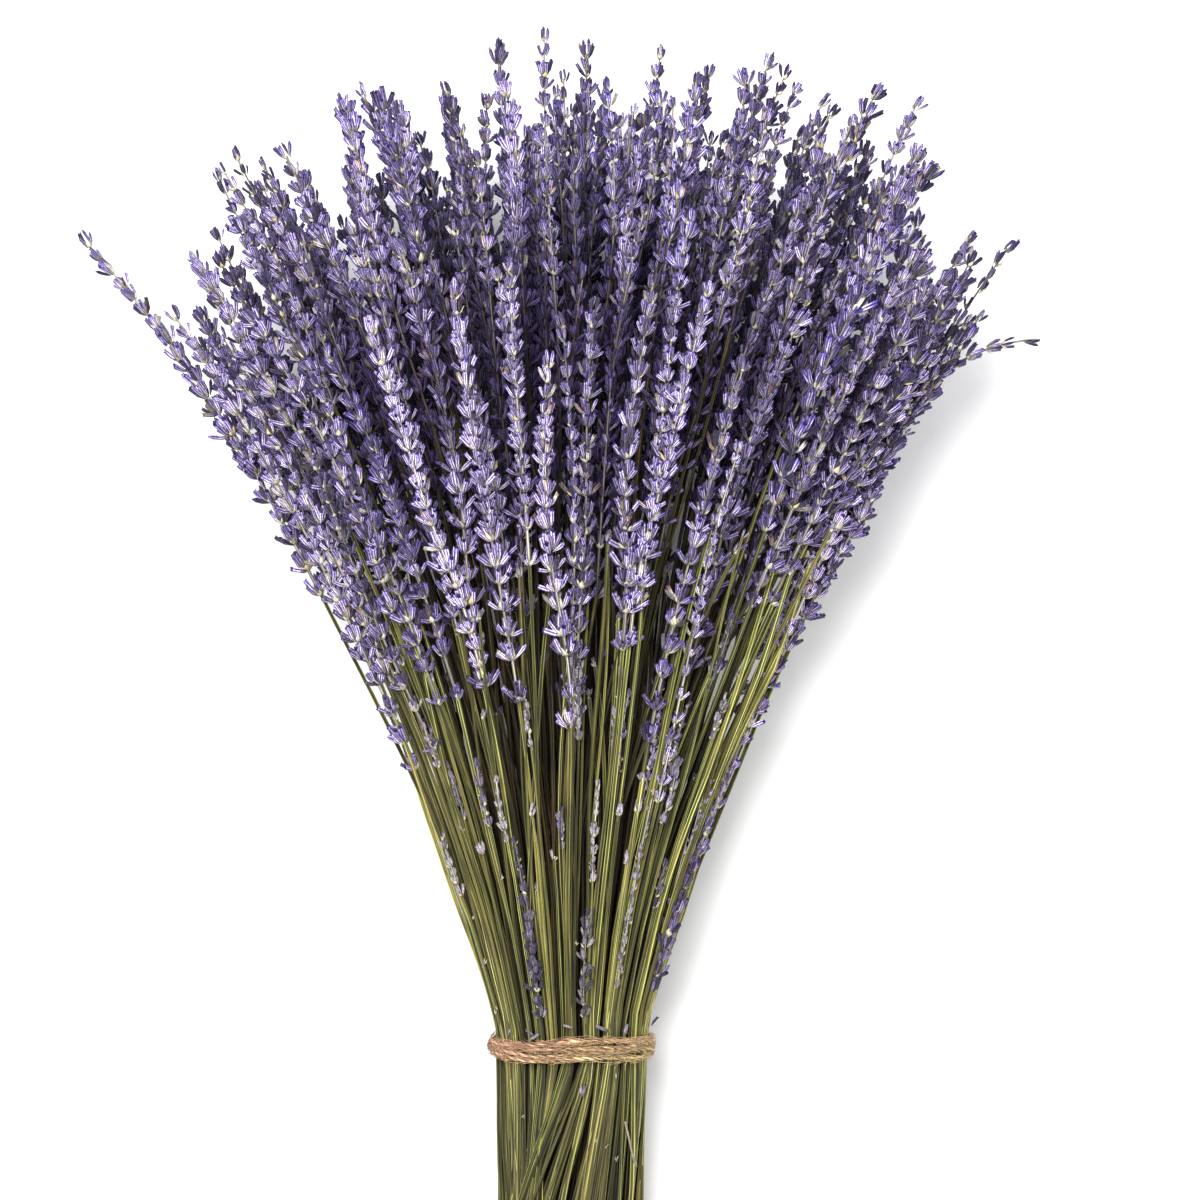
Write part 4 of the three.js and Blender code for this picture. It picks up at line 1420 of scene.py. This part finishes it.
@dataclass
class Spikes:
    """The flower spikes: whorls of calyces round a thin axis."""

    kit: FloretKit
    finishes: Finishes
    shift: Array
    rng: Rng
    usual_girth: float = 6.3
    foot_radius: float = 0.9
    axis_share: float = 0.62
    axis_tip_radius: float = 0.3
    dim_below: float = 0.45
    whorl_lean: float = 0.13
    lost_share: float = 0.07
    fillers_to_piece: int = 12
    bracts_of: dict[Habit, tuple[int, int]] = field(default_factory=lambda: {
        Habit.FULL: (3, 6), Habit.SLENDER: (2, 4), Habit.WISP: (1, 3), Habit.STOUT: (1, 3),
        Habit.BARE: (1, 3),
    })
    axis_section: Array = field(default_factory=lambda: square_section(6, 0.86))

    def grow(self, stalk: Stalk, heap: Heap) -> None:
        """Adds one spike to a heap, with its axis."""
        rng, habit, tray = self.rng, HABITS[stalk.habit], Tray()
        y = np.linspace(stalk.flower_y, stalk.tip_y, 64)
        line = stalk.centre(y)
        run = run_along(line)
        length = run[-1]
        at, last, spin = rng.uniform(0.0, 1.0), 0.0, rng.uniform(0, 2 * math.pi)
        while at < max(length - 2.0, 1.5):
            share = at / length
            here = float(np.interp(at, run, y))
            self.add_whorl(stalk, habit, here, share, spin, tray)
            gap = habit.pitch[0] + (habit.pitch[1] - habit.pitch[0]) * min(1.0, share * 1.8)
            if at < 14 and stalk.habit is Habit.FULL:
                gap *= rng.uniform(1.0, 1.6)
            last = at
            at += gap * rng.uniform(0.7, 1.3)
            spin += math.pi / 2 + rng.uniform(-0.3, 0.3)
        self.add_axis(stalk, y, run, last, heap)
        tray.empty_into(heap)

    def add_axis(self, stalk: Stalk, y: Array, run: Array, end: float, heap: Heap) -> None:
        """Adds the thin axis that the whorls stand on, up to the last of them."""
        marks = np.linspace(-1.5, end + 1.0, 22 if end > 30 else 6)
        here = np.interp(marks, run, y)
        here[0] = y[0] - 1.5
        _, across, over = stalk.frames(here)
        share = np.clip(marks / run[-1], 0, 1)
        foot = stalk.thickness * self.axis_share
        radii = foot * (1 - share) + min(foot, self.axis_tip_radius) * share
        rod = swept_pattern(stalk.centre(here), across, over, radii, self.axis_section, Finishes.RACHIS)
        tint = [0.25 + 0.7 * stalk.tone, self.rng.uniform(0, 0.6), self.rng.uniform(0, 0.5), 1.0]
        heap.add(rod, HERE, np.array([tint]))

    def add_whorl(self, stalk: Stalk, habit: WhorlHabit, y: float, share: float, spin: float,
                  tray: Tray) -> None:
        """Lays one whorl of calyces, with the small leaves under it.

        Args:
            stalk: The stalk that it grows on.
            habit: How its whorls are made up.
            y: Its height.
            share: How far along the spike it is, from 0 to 1.
            spin: The angle of its first calyx.
            tray: Where the copies are collected.
        """
        rng = self.rng
        along, across, over = (a[0] for a in stalk.frames(np.array([y])))
        along = unit(along + across * rng.normal(0, self.whorl_lean) + over * rng.normal(0, self.whorl_lean))
        across = unit(across - along * float(across @ along))
        over = np.cross(along, across)
        centre = stalk.centre(np.array([y]))[0]
        closing = float(smoothstep(share, stalk.closes_from + 0.16 * stalk.turn / math.pi, 1.04))
        dim = float(OUTLINE.painted_light(centre)) < self.dim_below
        taper = 0.9 + 0.1 * math.sin(math.pi * min(1.0, 1.5 * share)) - 0.1 * closing
        size = habit.size * stalk.girth / self.usual_girth * taper * rng.uniform(0.8, 1.12)
        upright = 1 - 0.24 * float(smoothstep(share, 0.25, 0.75)) - 0.28 * closing
        for lower in (True, False):
            least, most = habit.outer if lower else habit.inner
            low, high = habit.outer_tilt if lower else habit.inner_tilt
            count = int(round(rng.integers(least, most + 1) * (1 - 0.62 * closing) * (0.7 if dim else 1.0)))
            lift, foot = (0.0, 1.0) if lower else (0.9, 0.8)
            for i in range(count):
                angle = spin + lift + 2 * math.pi * (i + rng.uniform(-0.4, 0.4)) / count
                if rng.random() < self.lost_share:
                    continue
                tilt = math.radians(rng.uniform(low, high) * upright)
                foothold = (angle, tilt, self.foot_radius * foot * size, lift * size)
                origin, axes = self.stand(centre, (along, across, over), foothold)
                self.lay_calyx(stalk, origin, axes, (size * rng.uniform(0.8, 1.12), closing, dim), tray)
        if dim:
            return
        for _ in range(rng.integers(*self.bracts_of[stalk.habit]) // (1 if share < 0.45 else 2)):
            foothold = (spin + rng.uniform(0, 2 * math.pi), math.radians(rng.uniform(20, 52)), 0.5, -0.5)
            origin, axes = self.stand(centre, (along, across, over), foothold)
            wear = rng.uniform(0.5, 1.0) if rng.random() < 0.22 else rng.uniform(0, 0.25)
            look = (rng.uniform(0.3, 1.0), rng.uniform(0, 0.85), wear)
            if stalk.habit in LOW_HABITS:
                look = (rng.uniform(0.1, 0.5), 0.5, wear)
            leaf = self.kit.bracts[rng.integers(self.kit.variants)]
            tray.put(leaf, axes, origin, size * rng.uniform(0.8, 1.3), look)

    @staticmethod
    def stand(centre: Array, frame_here: tuple, foothold: tuple) -> tuple[Array, Array]:
        """Where and how a small part stands on the axis.

        Args:
            centre: The axis's own point.
            frame_here: Directions along the axis and two across it.
            foothold: The part's angle round the axis, its tilt, and how far out and up it stands.

        Returns:
            Its foot and its three axes, as columns, the last one along it.
        """
        along, across, over = frame_here
        angle, tilt, out, up = foothold
        outward = across * math.cos(angle) + over * math.sin(angle)
        lean = along * math.cos(tilt) + outward * math.sin(tilt)
        side = outward * math.cos(tilt) - along * math.sin(tilt)
        return centre + outward * out + along * up, np.stack([side, np.cross(lean, side), lean], axis=1)

    def lay_calyx(self, stalk: Stalk, origin: Array, axes: Array, state: tuple[float, float, bool],
                  tray: Tray) -> None:
        """Lays one calyx, open or still a bud, some with petals.

        Args:
            stalk: The stalk that it grows on.
            origin: Where its foot is.
            axes: Its three axes, as columns.
            state: Its size, how near the spike's closed tip it is, and whether it is deep inside the bunch.
            tray: Where the copies are collected.
        """
        rng = self.rng
        size, closing, dim = state
        tone = float(np.clip(stalk.tone + rng.normal(0, 0.27) - 0.12 * closing, 0.0, 0.9))
        hue = float(np.clip(stalk.hue + rng.normal(0, 0.16) + 0.2 * closing, 0.0, 1.0))
        wear = rng.uniform(0.4, 0.95) if rng.random() < 0.06 else rng.uniform(0, 0.12)
        if stalk.habit in LOW_HABITS:
            wear, hue = rng.uniform(0.34, 0.6) * max(0.0, 1 - 1.6 * stalk.hue), 0.8 * hue
            tone = 0.76 * tone
        if stalk.habit is Habit.BARE:
            tone, wear = 0.7 * tone, rng.uniform(0.3, 0.6)
        pick = rng.integers(self.kit.variants)
        kinds = self.kit.buds if rng.random() < 0.2 + 0.6 * closing else self.kit.calyces
        if dim:
            kinds = self.kit.plain
        tray.put(kinds[pick], axes, origin, size, (tone, hue, wear))
        if kinds is self.kit.calyces and rng.random() < 0.06 + 0.38 * hue:
            tray.put(self.kit.petals[pick], axes, origin, size, (tone, hue, wear))

    def build(self, stalks: Sequence[Stalk]) -> list[Piece]:
        """Makes every spike: one piece for each node that the solids have, and the fillers in a few more."""
        pieces = []
        for number in range(max(s.cluster for s in stalks) + 1):
            members = [s for s in stalks if s.cluster == number]
            node = f"flower_head_{number + 1:02d}"
            pieces.append(self.build_piece(f"spike_{number + 1:02d}", members, node))
        extra = [s for s in stalks if s.cluster < 0 and s.habit in (Habit.FULL, Habit.SLENDER)]
        for number in range(math.ceil(len(extra) / self.fillers_to_piece)):
            members = extra[number * self.fillers_to_piece :][: self.fillers_to_piece]
            pieces.append(self.build_piece(f"inner_spikes_{number + 1:02d}", members))
        pieces.append(self.build_piece("low_spikes", [s for s in stalks if s.habit in LOW_HABITS]))
        pieces.append(self.build_piece("stem_ends", [s for s in stalks if s.habit is Habit.BARE]))
        return pieces

    def build_piece(self, name: str, stalks: Sequence[Stalk], node: str = "") -> Piece:
        """Makes one piece of one or more spikes.

        Args:
            name: The piece's name.
            stalks: The stalks whose spikes it holds.
            node: The solid node that it stands for, if any.

        Returns:
            The piece.
        """
        heap = Heap()
        for stalk in stalks:
            self.grow(stalk, heap)
        piece = heap.piece(name, self.finishes.for_spikes(), self.shift)
        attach(piece, "root")
        if node:
            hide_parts(node)
        return piece


@dataclass
class LooseBits:
    """Single florets, scraps of dry leaf and a broken twig, lying where the photograph shows them.

    Attributes:
        kit: The small shapes.
        finishes: The bunch's finishes.
        shift: From the bunch's own origin to the frame's, in metres.
        rng: Where its own differences are drawn from.
        florets: For each floret, its foot (x, y), its heading in degrees from the stalks' own, its lift, its
            tone and its hue.
        scraps: The place (x, y) of each scrap of leaf.
        twig: Points (x, y) of the broken twig.
        twig_radius: How thick the twig is.
    """

    kit: FloretKit
    finishes: Finishes
    shift: Array
    rng: Rng
    florets: tuple[tuple[float, float, float, float, float, float], ...] = (
        (4.3, -15.6, 4, 1.4, 0.35, 0.2), (3.6, -15.4, -14, 1.2, 0.9, 0.0), (4.0, -15.8, -4, 1.9, 0.6, 0.1),
        (-12.6, 5.4, -78, 1.9, 0.3, 0.1), (-14.6, 3.8, 46, 2.4, 0.6, 0.0), (0.4, 8.6, -88, 1.4, 0.7, 0.0),
        (12.4, 8.0, -94, 1.4, 0.6, 0.05), (9.0, 8.4, 84, 1.2, 0.4, 0.1), (18.6, 5.2, 8, 1.4, 0.6, 0.0),
        (19.6, 5.6, -16, 1.2, 0.5, 0.0), (28.4, 7.8, 20, 0.2, 0.02, 0.7), (-22.4, 4.9, 12, 1.2, 0.6, 0.0),
    )
    scraps: tuple[tuple[float, float], ...] = (
        (-31.0, 28.0), (-30.2, 30.4), (-26.6, 11.6), (-26.0, 14.0), (8.7, -32.0), (12.0, -34.0),
        (15.8, -38.8), (15.4, -9.5), (11.4, 3.9), (22.6, -41.4), (23.4, -42.0), (-34.6, 46.0),
        (-24.0, 61.0), (33.0, 31.0), (2.0, 38.0), (21.0, 45.0), (-8.0, -52.0), (-17.0, -24.0),
    )
    twig: tuple[tuple[float, float], ...] = ((18.9, -25.2), (20.4, -31.6), (21.4, -36.6), (22.8, -41.7))
    twig_radius: float = 0.48

    def axes_towards(self, heading: float, rise: float) -> Array:
        """Three axes, as columns, the last one lying at a heading and rising a little."""
        turn = math.radians(heading)
        lean = unit(np.array([math.sin(turn), math.cos(turn), rise]))
        side = unit(np.cross(np.array([0.0, 0.0, 1.0]), lean))
        return np.stack([side, np.cross(lean, side), lean], axis=1)

    def build(self) -> Piece:
        """Makes all of them as one piece."""
        tray, heap = Tray(), Heap()
        for number, (x, y, heading, lift, tone, hue) in enumerate(self.florets):
            origin = np.array([x, y, OUTLINE.top_at(x, y) + lift + 1.2])
            shape = self.kit.calyces[number % self.kit.variants]
            size = self.rng.uniform(0.62, 0.9)
            tray.put(shape, self.axes_towards(heading, 0.1), origin, size, (0.7 * tone, hue, 0.4))
        for x, y in self.scraps:
            for _ in range(3):
                spot = np.array([x, y, OUTLINE.top_at(x, y) + 2.4]) + self.rng.uniform(-0.45, 0.45, 3)
                axes = self.axes_towards(self.rng.uniform(-40, 40), self.rng.uniform(0.1, 0.6))
                leaf = self.kit.bracts[self.rng.integers(self.kit.variants)]
                size = self.rng.uniform(0.35, 0.75)
                tray.put(leaf, axes, spot, size, (self.rng.uniform(0.5, 0.9), 0.4, 0.0))
        tray.empty_into(heap)
        line = np.array([(x, y, OUTLINE.top_at(x, y) + 3.0) for x, y in self.twig])
        along = unit(np.gradient(line, axis=0))
        across = unit(np.cross(np.array([0.0, 0.0, 1.0]), along))
        radii = np.linspace(0.8, 1.0, len(line)) * self.twig_radius
        section = square_section(6, 0.86)
        rod = swept_pattern(line, across, np.cross(along, across), radii, section, Finishes.RACHIS)
        heap.add(rod, HERE, np.array([[0.62, 1.0, 0.1, 1.0]]))
        piece = heap.piece("loose_bits", self.finishes.for_spikes(), self.shift)
        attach(piece, "root")
        return piece


def square_section(corners: int, waist: float) -> Array:
    """A section with ridges at every other corner, for radius 1.

    Args:
        corners: Number of its corners, an even number.
        waist: Radius of the corners between the ridges.

    Returns:
        The corners, across and over.
    """
    angle = 2 * np.pi * np.arange(corners) / corners
    radius = np.where(np.arange(corners) % 2 == 0, 1.0, waist)
    return np.stack([np.cos(angle) * radius, np.sin(angle) * radius], axis=1)


# ---- Stems ----


@dataclass
class Stems:
    """The square green stems, pressed together at the tie."""

    finishes: Finishes
    shift: Array
    rng: Rng
    step: float = 11.0
    taper: float = 0.26
    dead_share: float = 0.34
    dead_tone: tuple[float, float] = (0.05, 0.4)
    live_tone: tuple[float, float] = (0.15, 0.95)
    section: Array = field(default_factory=lambda: square_section(8, 0.74))

    def build(self, stalks: Sequence[Stalk]) -> Piece:
        """Makes all stems as one piece, in place of the solids' stems."""
        heap = Heap()
        for stalk in stalks:
            top = stalk.flower_y + 0.5
            y = np.linspace(stalk.butt_y, top, max(6, int((top - stalk.butt_y) / self.step)))
            _, across, over = stalk.frames(y)
            turned = (
                across * math.cos(stalk.turn) + over * math.sin(stalk.turn),
                over * math.cos(stalk.turn) - across * math.sin(stalk.turn),
            )
            radii = stalk.thickness * (1 - self.taper * (y - y[0]) / 300)
            rod = swept_pattern(stalk.centre(y), *turned, radii, self.section, 0)
            dead = stalk.habit is not Habit.FULL and self.rng.random() < self.dead_share
            tone = self.rng.uniform(*(self.dead_tone if dead else self.live_tone))
            hue = self.rng.beta(1.2, 2.2)
            wear = self.rng.uniform(0.7, 1.0) if dead else self.rng.beta(1.0, 2.2)
            heap.add(rod, HERE, np.array([[tone, hue, wear, 1.0]]))
        piece = heap.piece("green_stems", [self.finishes.stem], self.shift)
        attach(piece, "root")
        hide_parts("stems")
        return piece


# ---- Twine ----


@dataclass
class TwineTie:
    """The jute twine: four turns of twisted strands, its knot and its two ends."""

    finishes: Finishes
    shift: Array
    rng: Rng
    turns: int = 4
    pitch: float = 1.96
    side_squeeze: float = 0.06
    left_squeeze: float = 0.48
    ring_out: float = 2.0
    knot_angle: float = math.radians(215)
    knot_radius: float = 3.4
    tail_length: float = 15.0
    strands: int = 3
    strand_radius: float = 0.48
    strand_offset: float = 0.46
    twist_pitch: float = 11.0
    hairs: int = 640
    lying_hairs: int = 300
    section: Array = field(default_factory=lambda: square_section(6, 0.94))

    @property
    def middle(self) -> float:
        """Height of the tie's middle."""
        return (OUTLINE.waist_top + OUTLINE.waist_bottom) / 2

    def outward(self, points: Array) -> Array:
        """Directions away from the middle of the tie."""
        return unit((points - np.array([0.0, 0.0, self.middle])) * np.array([1.0, 0.0, 1.0]))

    def ring(self, angle: Array, y: Array, out: Number = 0.0) -> Array:
        """Points round the tie."""
        middle = self.middle
        tall = (OUTLINE.waist_top - OUTLINE.waist_bottom) / 2
        wide = OUTLINE.waist_half_width + self.ring_out + out
        high = tall + self.ring_out + out
        height = middle + high * np.sin(angle)
        return np.stack([wide * np.cos(angle), y * np.ones_like(angle), height], axis=-1)

    def winding(self) -> Array:
        """The centre line of the turns, wavy, with places where one turn rides over the next."""
        share = np.linspace(0, 1, self.turns * 150)
        angle = self.knot_angle + 2 * np.pi * self.turns * share
        squeeze = self.side_squeeze * np.abs(np.cos(angle)) ** 3
        squeeze = squeeze + self.left_squeeze * np.maximum(0.0, -np.cos(angle)) ** 3
        y = (share - 0.5) * self.turns * self.pitch * (1 - squeeze)
        y = y + 0.7 * np.sin(2 * angle + 0.4) + 0.3 * np.sin(5 * angle + 1.0) + 0.46 * np.sin(3.37 * angle)
        out = 0.3 + 0.3 * np.sin(1.7 * angle + 0.6) + 0.2 * np.sin(6.3 * angle + 2.0)
        return self.ring(angle, y, out)

    def tail(self, side: int) -> Array:
        """The centre line of one end, from the knot down to the table."""
        knot = self.ring(np.array([self.knot_angle]), np.array([0.0]), 2.4)[0]
        middle = knot + np.array([-1.0, side * self.tail_length / 2, -3.0])
        end = np.array([knot[0] + 1.0, side * self.tail_length, 0.5 * knot[2] - 1 - side])
        t = np.linspace(0, 1, 24)[:, None]
        return (1 - t) ** 2 * knot + 2 * t * (1 - t) * (2 * middle - (knot + end) / 2) + t**2 * end

    def lay_cord(self, line: Array, heap: Heap) -> None:
        """Adds one cord of twisted strands along a line."""
        along = unit(np.gradient(line, axis=0))
        across = unit(np.cross(along, np.array([0.0, 1.0, 0.05])))
        over = np.cross(along, across)
        run = run_along(line)
        for strand in range(self.strands):
            turn = 2 * np.pi * (run / self.twist_pitch + strand / self.strands) + 0.5 * np.sin(run / 9.0)
            offset = self.strand_offset * (1 + 0.18 * np.sin(run / 3.7 + strand * 2.0))
            centre = line + (across * np.cos(turn)[:, None] + over * np.sin(turn)[:, None]) * offset[:, None]
            lumps = 1 + 0.16 * np.sin(run / 2.9 + strand) + 0.1 * self.rng.uniform(-1, 1, len(run))
            radii = self.strand_radius * lumps
            rod = swept_pattern(centre, across, over, radii, self.section, 0)
            tone = (strand + self.rng.uniform(0, 1)) / self.strands
            heap.add(rod, HERE, np.array([[tone, 0.5, 0.0, 1.0]]))
            tints = np.repeat(self.hue_along(centre, tone), len(self.section), axis=0)
            # Painted shade: the deeper a point lies below the cord's outside, in the crevices between strands
            # and turns, the darker.
            from_line = rod.points.reshape(len(line), -1, 3) - line[:, None]
            reach = np.sum(from_line * self.outward(line)[:, None], axis=2).ravel()
            tints[:, 2] = 1 - smoothstep(reach, 0.3, 0.84)
            heap.tint[-1] = tints

    def hue_along(self, points: Array, tone: float) -> Array:
        """Tints from pinkish tan at the upper left to straw at the lower right."""
        hue = np.clip(0.45 + points[:, 0] / 60 - points[:, 1] / 14, 0, 1)
        ones = np.ones(len(points))
        return np.stack([tone * ones, hue, 0 * ones, ones], axis=1)

    def add_hairs(self, line: Array, heap: Heap) -> None:
        """Adds the loose hairs that stand off the twine, and the ones that lie along it."""
        rng = self.rng
        triangle = square_section(4, 1.0)[:3] + np.array([0.0, 0.2])
        t = np.linspace(0, 1, 5)
        for number in range(self.hairs + self.lying_hairs):
            lying = number >= self.hairs
            steps = rng.uniform(5, 18) if lying else rng.uniform(1, 8)
            start = rng.uniform(1, len(line) - 2 - steps)
            along_line = start + steps * t
            marks = np.arange(len(line))
            path = np.stack([np.interp(along_line, marks, line[:, k]) for k in range(3)], axis=1)
            outward = self.outward(path)
            side = rng.uniform(-1, 1) * 1.3 if lying else rng.choice((-1, 1)) * rng.uniform(0.7, 1.3)
            wave = side + 0.5 * np.sin(t * rng.uniform(2, 6) + rng.uniform(0, 6))
            lift = (1.1 if lying else 0.9) + 0.25 * rng.random() - 0.28 * wave**2
            away = np.array([0.0, 0.0 if lying else side * rng.uniform(0.0, 0.7) ** 1.6, 0.0])
            rise = 0.0 if lying else rng.uniform(-0.3, 1.2)
            lifted = outward * (np.maximum(lift, 0.2) + rise * t**1.5)[:, None]
            pulled = away * (rng.uniform(1.5, 4.5) * t**1.2)[:, None]
            path = path + lifted + pulled
            path[:, 1] += wave
            direction = unit(np.gradient(path, axis=0))
            across = unit(np.cross(direction, np.array([0.3, 0.2, 0.93])))
            radii = np.linspace(0.1, 0.05, 5) if lying else np.linspace(0.085, 0.035, 5)
            rod = swept_pattern(path, across, np.cross(direction, across), radii, triangle, 0)
            heap.add(rod, HERE, np.array([[rng.uniform(0.3, 1.0), rng.uniform(0.2, 1.0), 0.0, 1.0]]))
            tone = rng.uniform(0.0 if lying else 0.5, 1.0)
            tints = np.repeat(self.hue_along(path, tone), len(triangle), axis=0)
            # Some lying hairs are darker in their own colour, through the same channel as the painted shade.
            tints[:, 2] = rng.uniform(0.4, 0.8) if lying and rng.random() < 0.35 else 0.0
            heap.tint[-1] = tints

    def build(self) -> Piece:
        """Makes the whole tie as one piece, in place of the solids' twine."""
        heap = Heap()
        winding = self.winding()
        self.lay_cord(winding, heap)
        for side in (-1, 1):
            self.lay_cord(self.tail(side), heap)
        self.lay_cord(self.knot_line(), heap)
        self.add_hairs(winding, heap)
        piece = heap.piece("jute_twine_tie", [self.finishes.twine], self.shift)
        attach(piece, "root")
        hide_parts("twine_tie")
        return piece

    def knot_line(self) -> Array:
        """The centre line of the knot: a few loops round the turns, pulled tight."""
        centre = self.ring(np.array([self.knot_angle]), np.array([0.0]), 1.6)[0]
        t = np.linspace(0, 1, 90)
        lift = self.knot_radius * 0.5
        outward = np.array([math.cos(self.knot_angle), 0.0, math.sin(self.knot_angle)])
        sideways = np.array([-math.sin(self.knot_angle), 0.0, math.cos(self.knot_angle)])
        return (
            centre
            + sideways * (2.0 * np.sin(4 * np.pi * t))[:, None]
            + np.array([0.0, 1.0, 0.0]) * (4.2 * np.sin(6 * np.pi * t + 0.7))[:, None]
            + outward * (lift * np.cos(4 * np.pi * t + 0.4))[:, None]
        )


# ---- Table, light and camera ----


@dataclass
class Studio:
    """The pale table, the soft lights and the camera that looks down on the bunch."""

    finishes: Finishes
    shift: Array
    photo_centre: tuple[float, float] = (10.15, 158.55)
    photo_width: float = 420.0
    camera_height: float = 2060.0
    scale_height: float = 60.0
    sensor: float = 36.0
    sky_strength: float = 0.9
    key_energy: float = 53.0
    fill_energy: float = 5.0

    def build(self) -> None:
        """Sets everything up."""
        self.add_table()
        self.add_camera()
        self.add_light("key_light", (-0.42, 0.6, 1.95), 0.9, self.key_energy)
        self.add_light("fill_light", (1.1, -0.4, 1.7), 1.4, self.fill_energy)
        world = bpy.data.worlds.new("studio")
        world.use_nodes = True
        sky = world.node_tree.nodes["Background"]
        sky.inputs["Color"].default_value = (1.0, 1.0, 1.0, 1.0)
        sky.inputs["Strength"].default_value = self.sky_strength
        bpy.context.scene.world = world
        bpy.context.scene.view_settings.view_transform = "Standard"

    def add_table(self) -> None:
        """Lays the tabletop, which isn't part of the bunch."""
        deselect()
        bpy.ops.mesh.primitive_plane_add(size=8.0, location=(0.0, 0.0, 0.0))
        table = bpy.context.object
        table.name = "pale_table"
        table.data.materials.append(self.finishes.floor)
        table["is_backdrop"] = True

    def add_camera(self) -> None:
        """Puts the camera straight above, framed as the photograph is."""
        view = bpy.data.cameras.new("camera_from_above")
        view.sensor_width = self.sensor
        view.lens = self.sensor * (self.camera_height - self.scale_height) / self.photo_width
        camera = bpy.data.objects.new("camera_from_above", view)
        x, y = self.photo_centre
        camera.location = (x * MM + self.shift[0], y * MM + self.shift[1], self.camera_height * MM)
        bpy.context.scene.collection.objects.link(camera)
        bpy.context.scene.camera = camera

    def add_light(self, name: str, place: tuple[float, float, float], size: float, energy: float) -> None:
        """Adds one soft square light aimed at the bunch.

        Args:
            name: The light's name.
            place: Where it hangs, in metres.
            size: Its side, in metres.
            energy: Its power, in watts.
        """
        lamp = bpy.data.lights.new(name, "AREA")
        lamp.shape = "SQUARE"
        lamp.size = size
        lamp.energy = energy
        light = bpy.data.objects.new(name, lamp)
        light.location = place
        bpy.context.scene.collection.objects.link(light)
        aim = light.location.copy()
        light.rotation_mode = "QUATERNION"
        light.rotation_quaternion = aim.to_track_quat("Z", "Y")


def main() -> None:
    """Builds the bunch, its table and its light."""
    logging.basicConfig(level=logging.INFO, format="%(name)s: %(message)s")
    low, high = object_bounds()
    shift = np.array([low.x + 0.172, high.y - 0.355, 0.0])
    rng = np.random.default_rng(11)
    finishes = Finishes.make()
    stalks = Planting().plant()
    LOG.info("stalks: %d", len(stalks))
    kit = FloretKit()
    kit.build(rng)
    pieces = Spikes(kit, finishes, shift, rng).build(stalks)
    pieces += [Stems(finishes, shift, rng).build(stalks), TwineTie(finishes, shift, rng).build()]
    pieces.append(LooseBits(kit, finishes, shift, rng).build())
    total = 0
    for piece in pieces:
        sides = np.empty(len(piece.data.polygons), dtype=np.int32)
        piece.data.polygons.foreach_get("loop_total", sides)
        triangles = int(np.sum(sides - 2))
        total += triangles
        LOG.info("%s: %d triangles", piece.name, triangles)
    LOG.info("all pieces: %d triangles", total)
    Studio(finishes, shift).build()
    low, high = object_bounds()


if __name__ == "__main__":
    main()
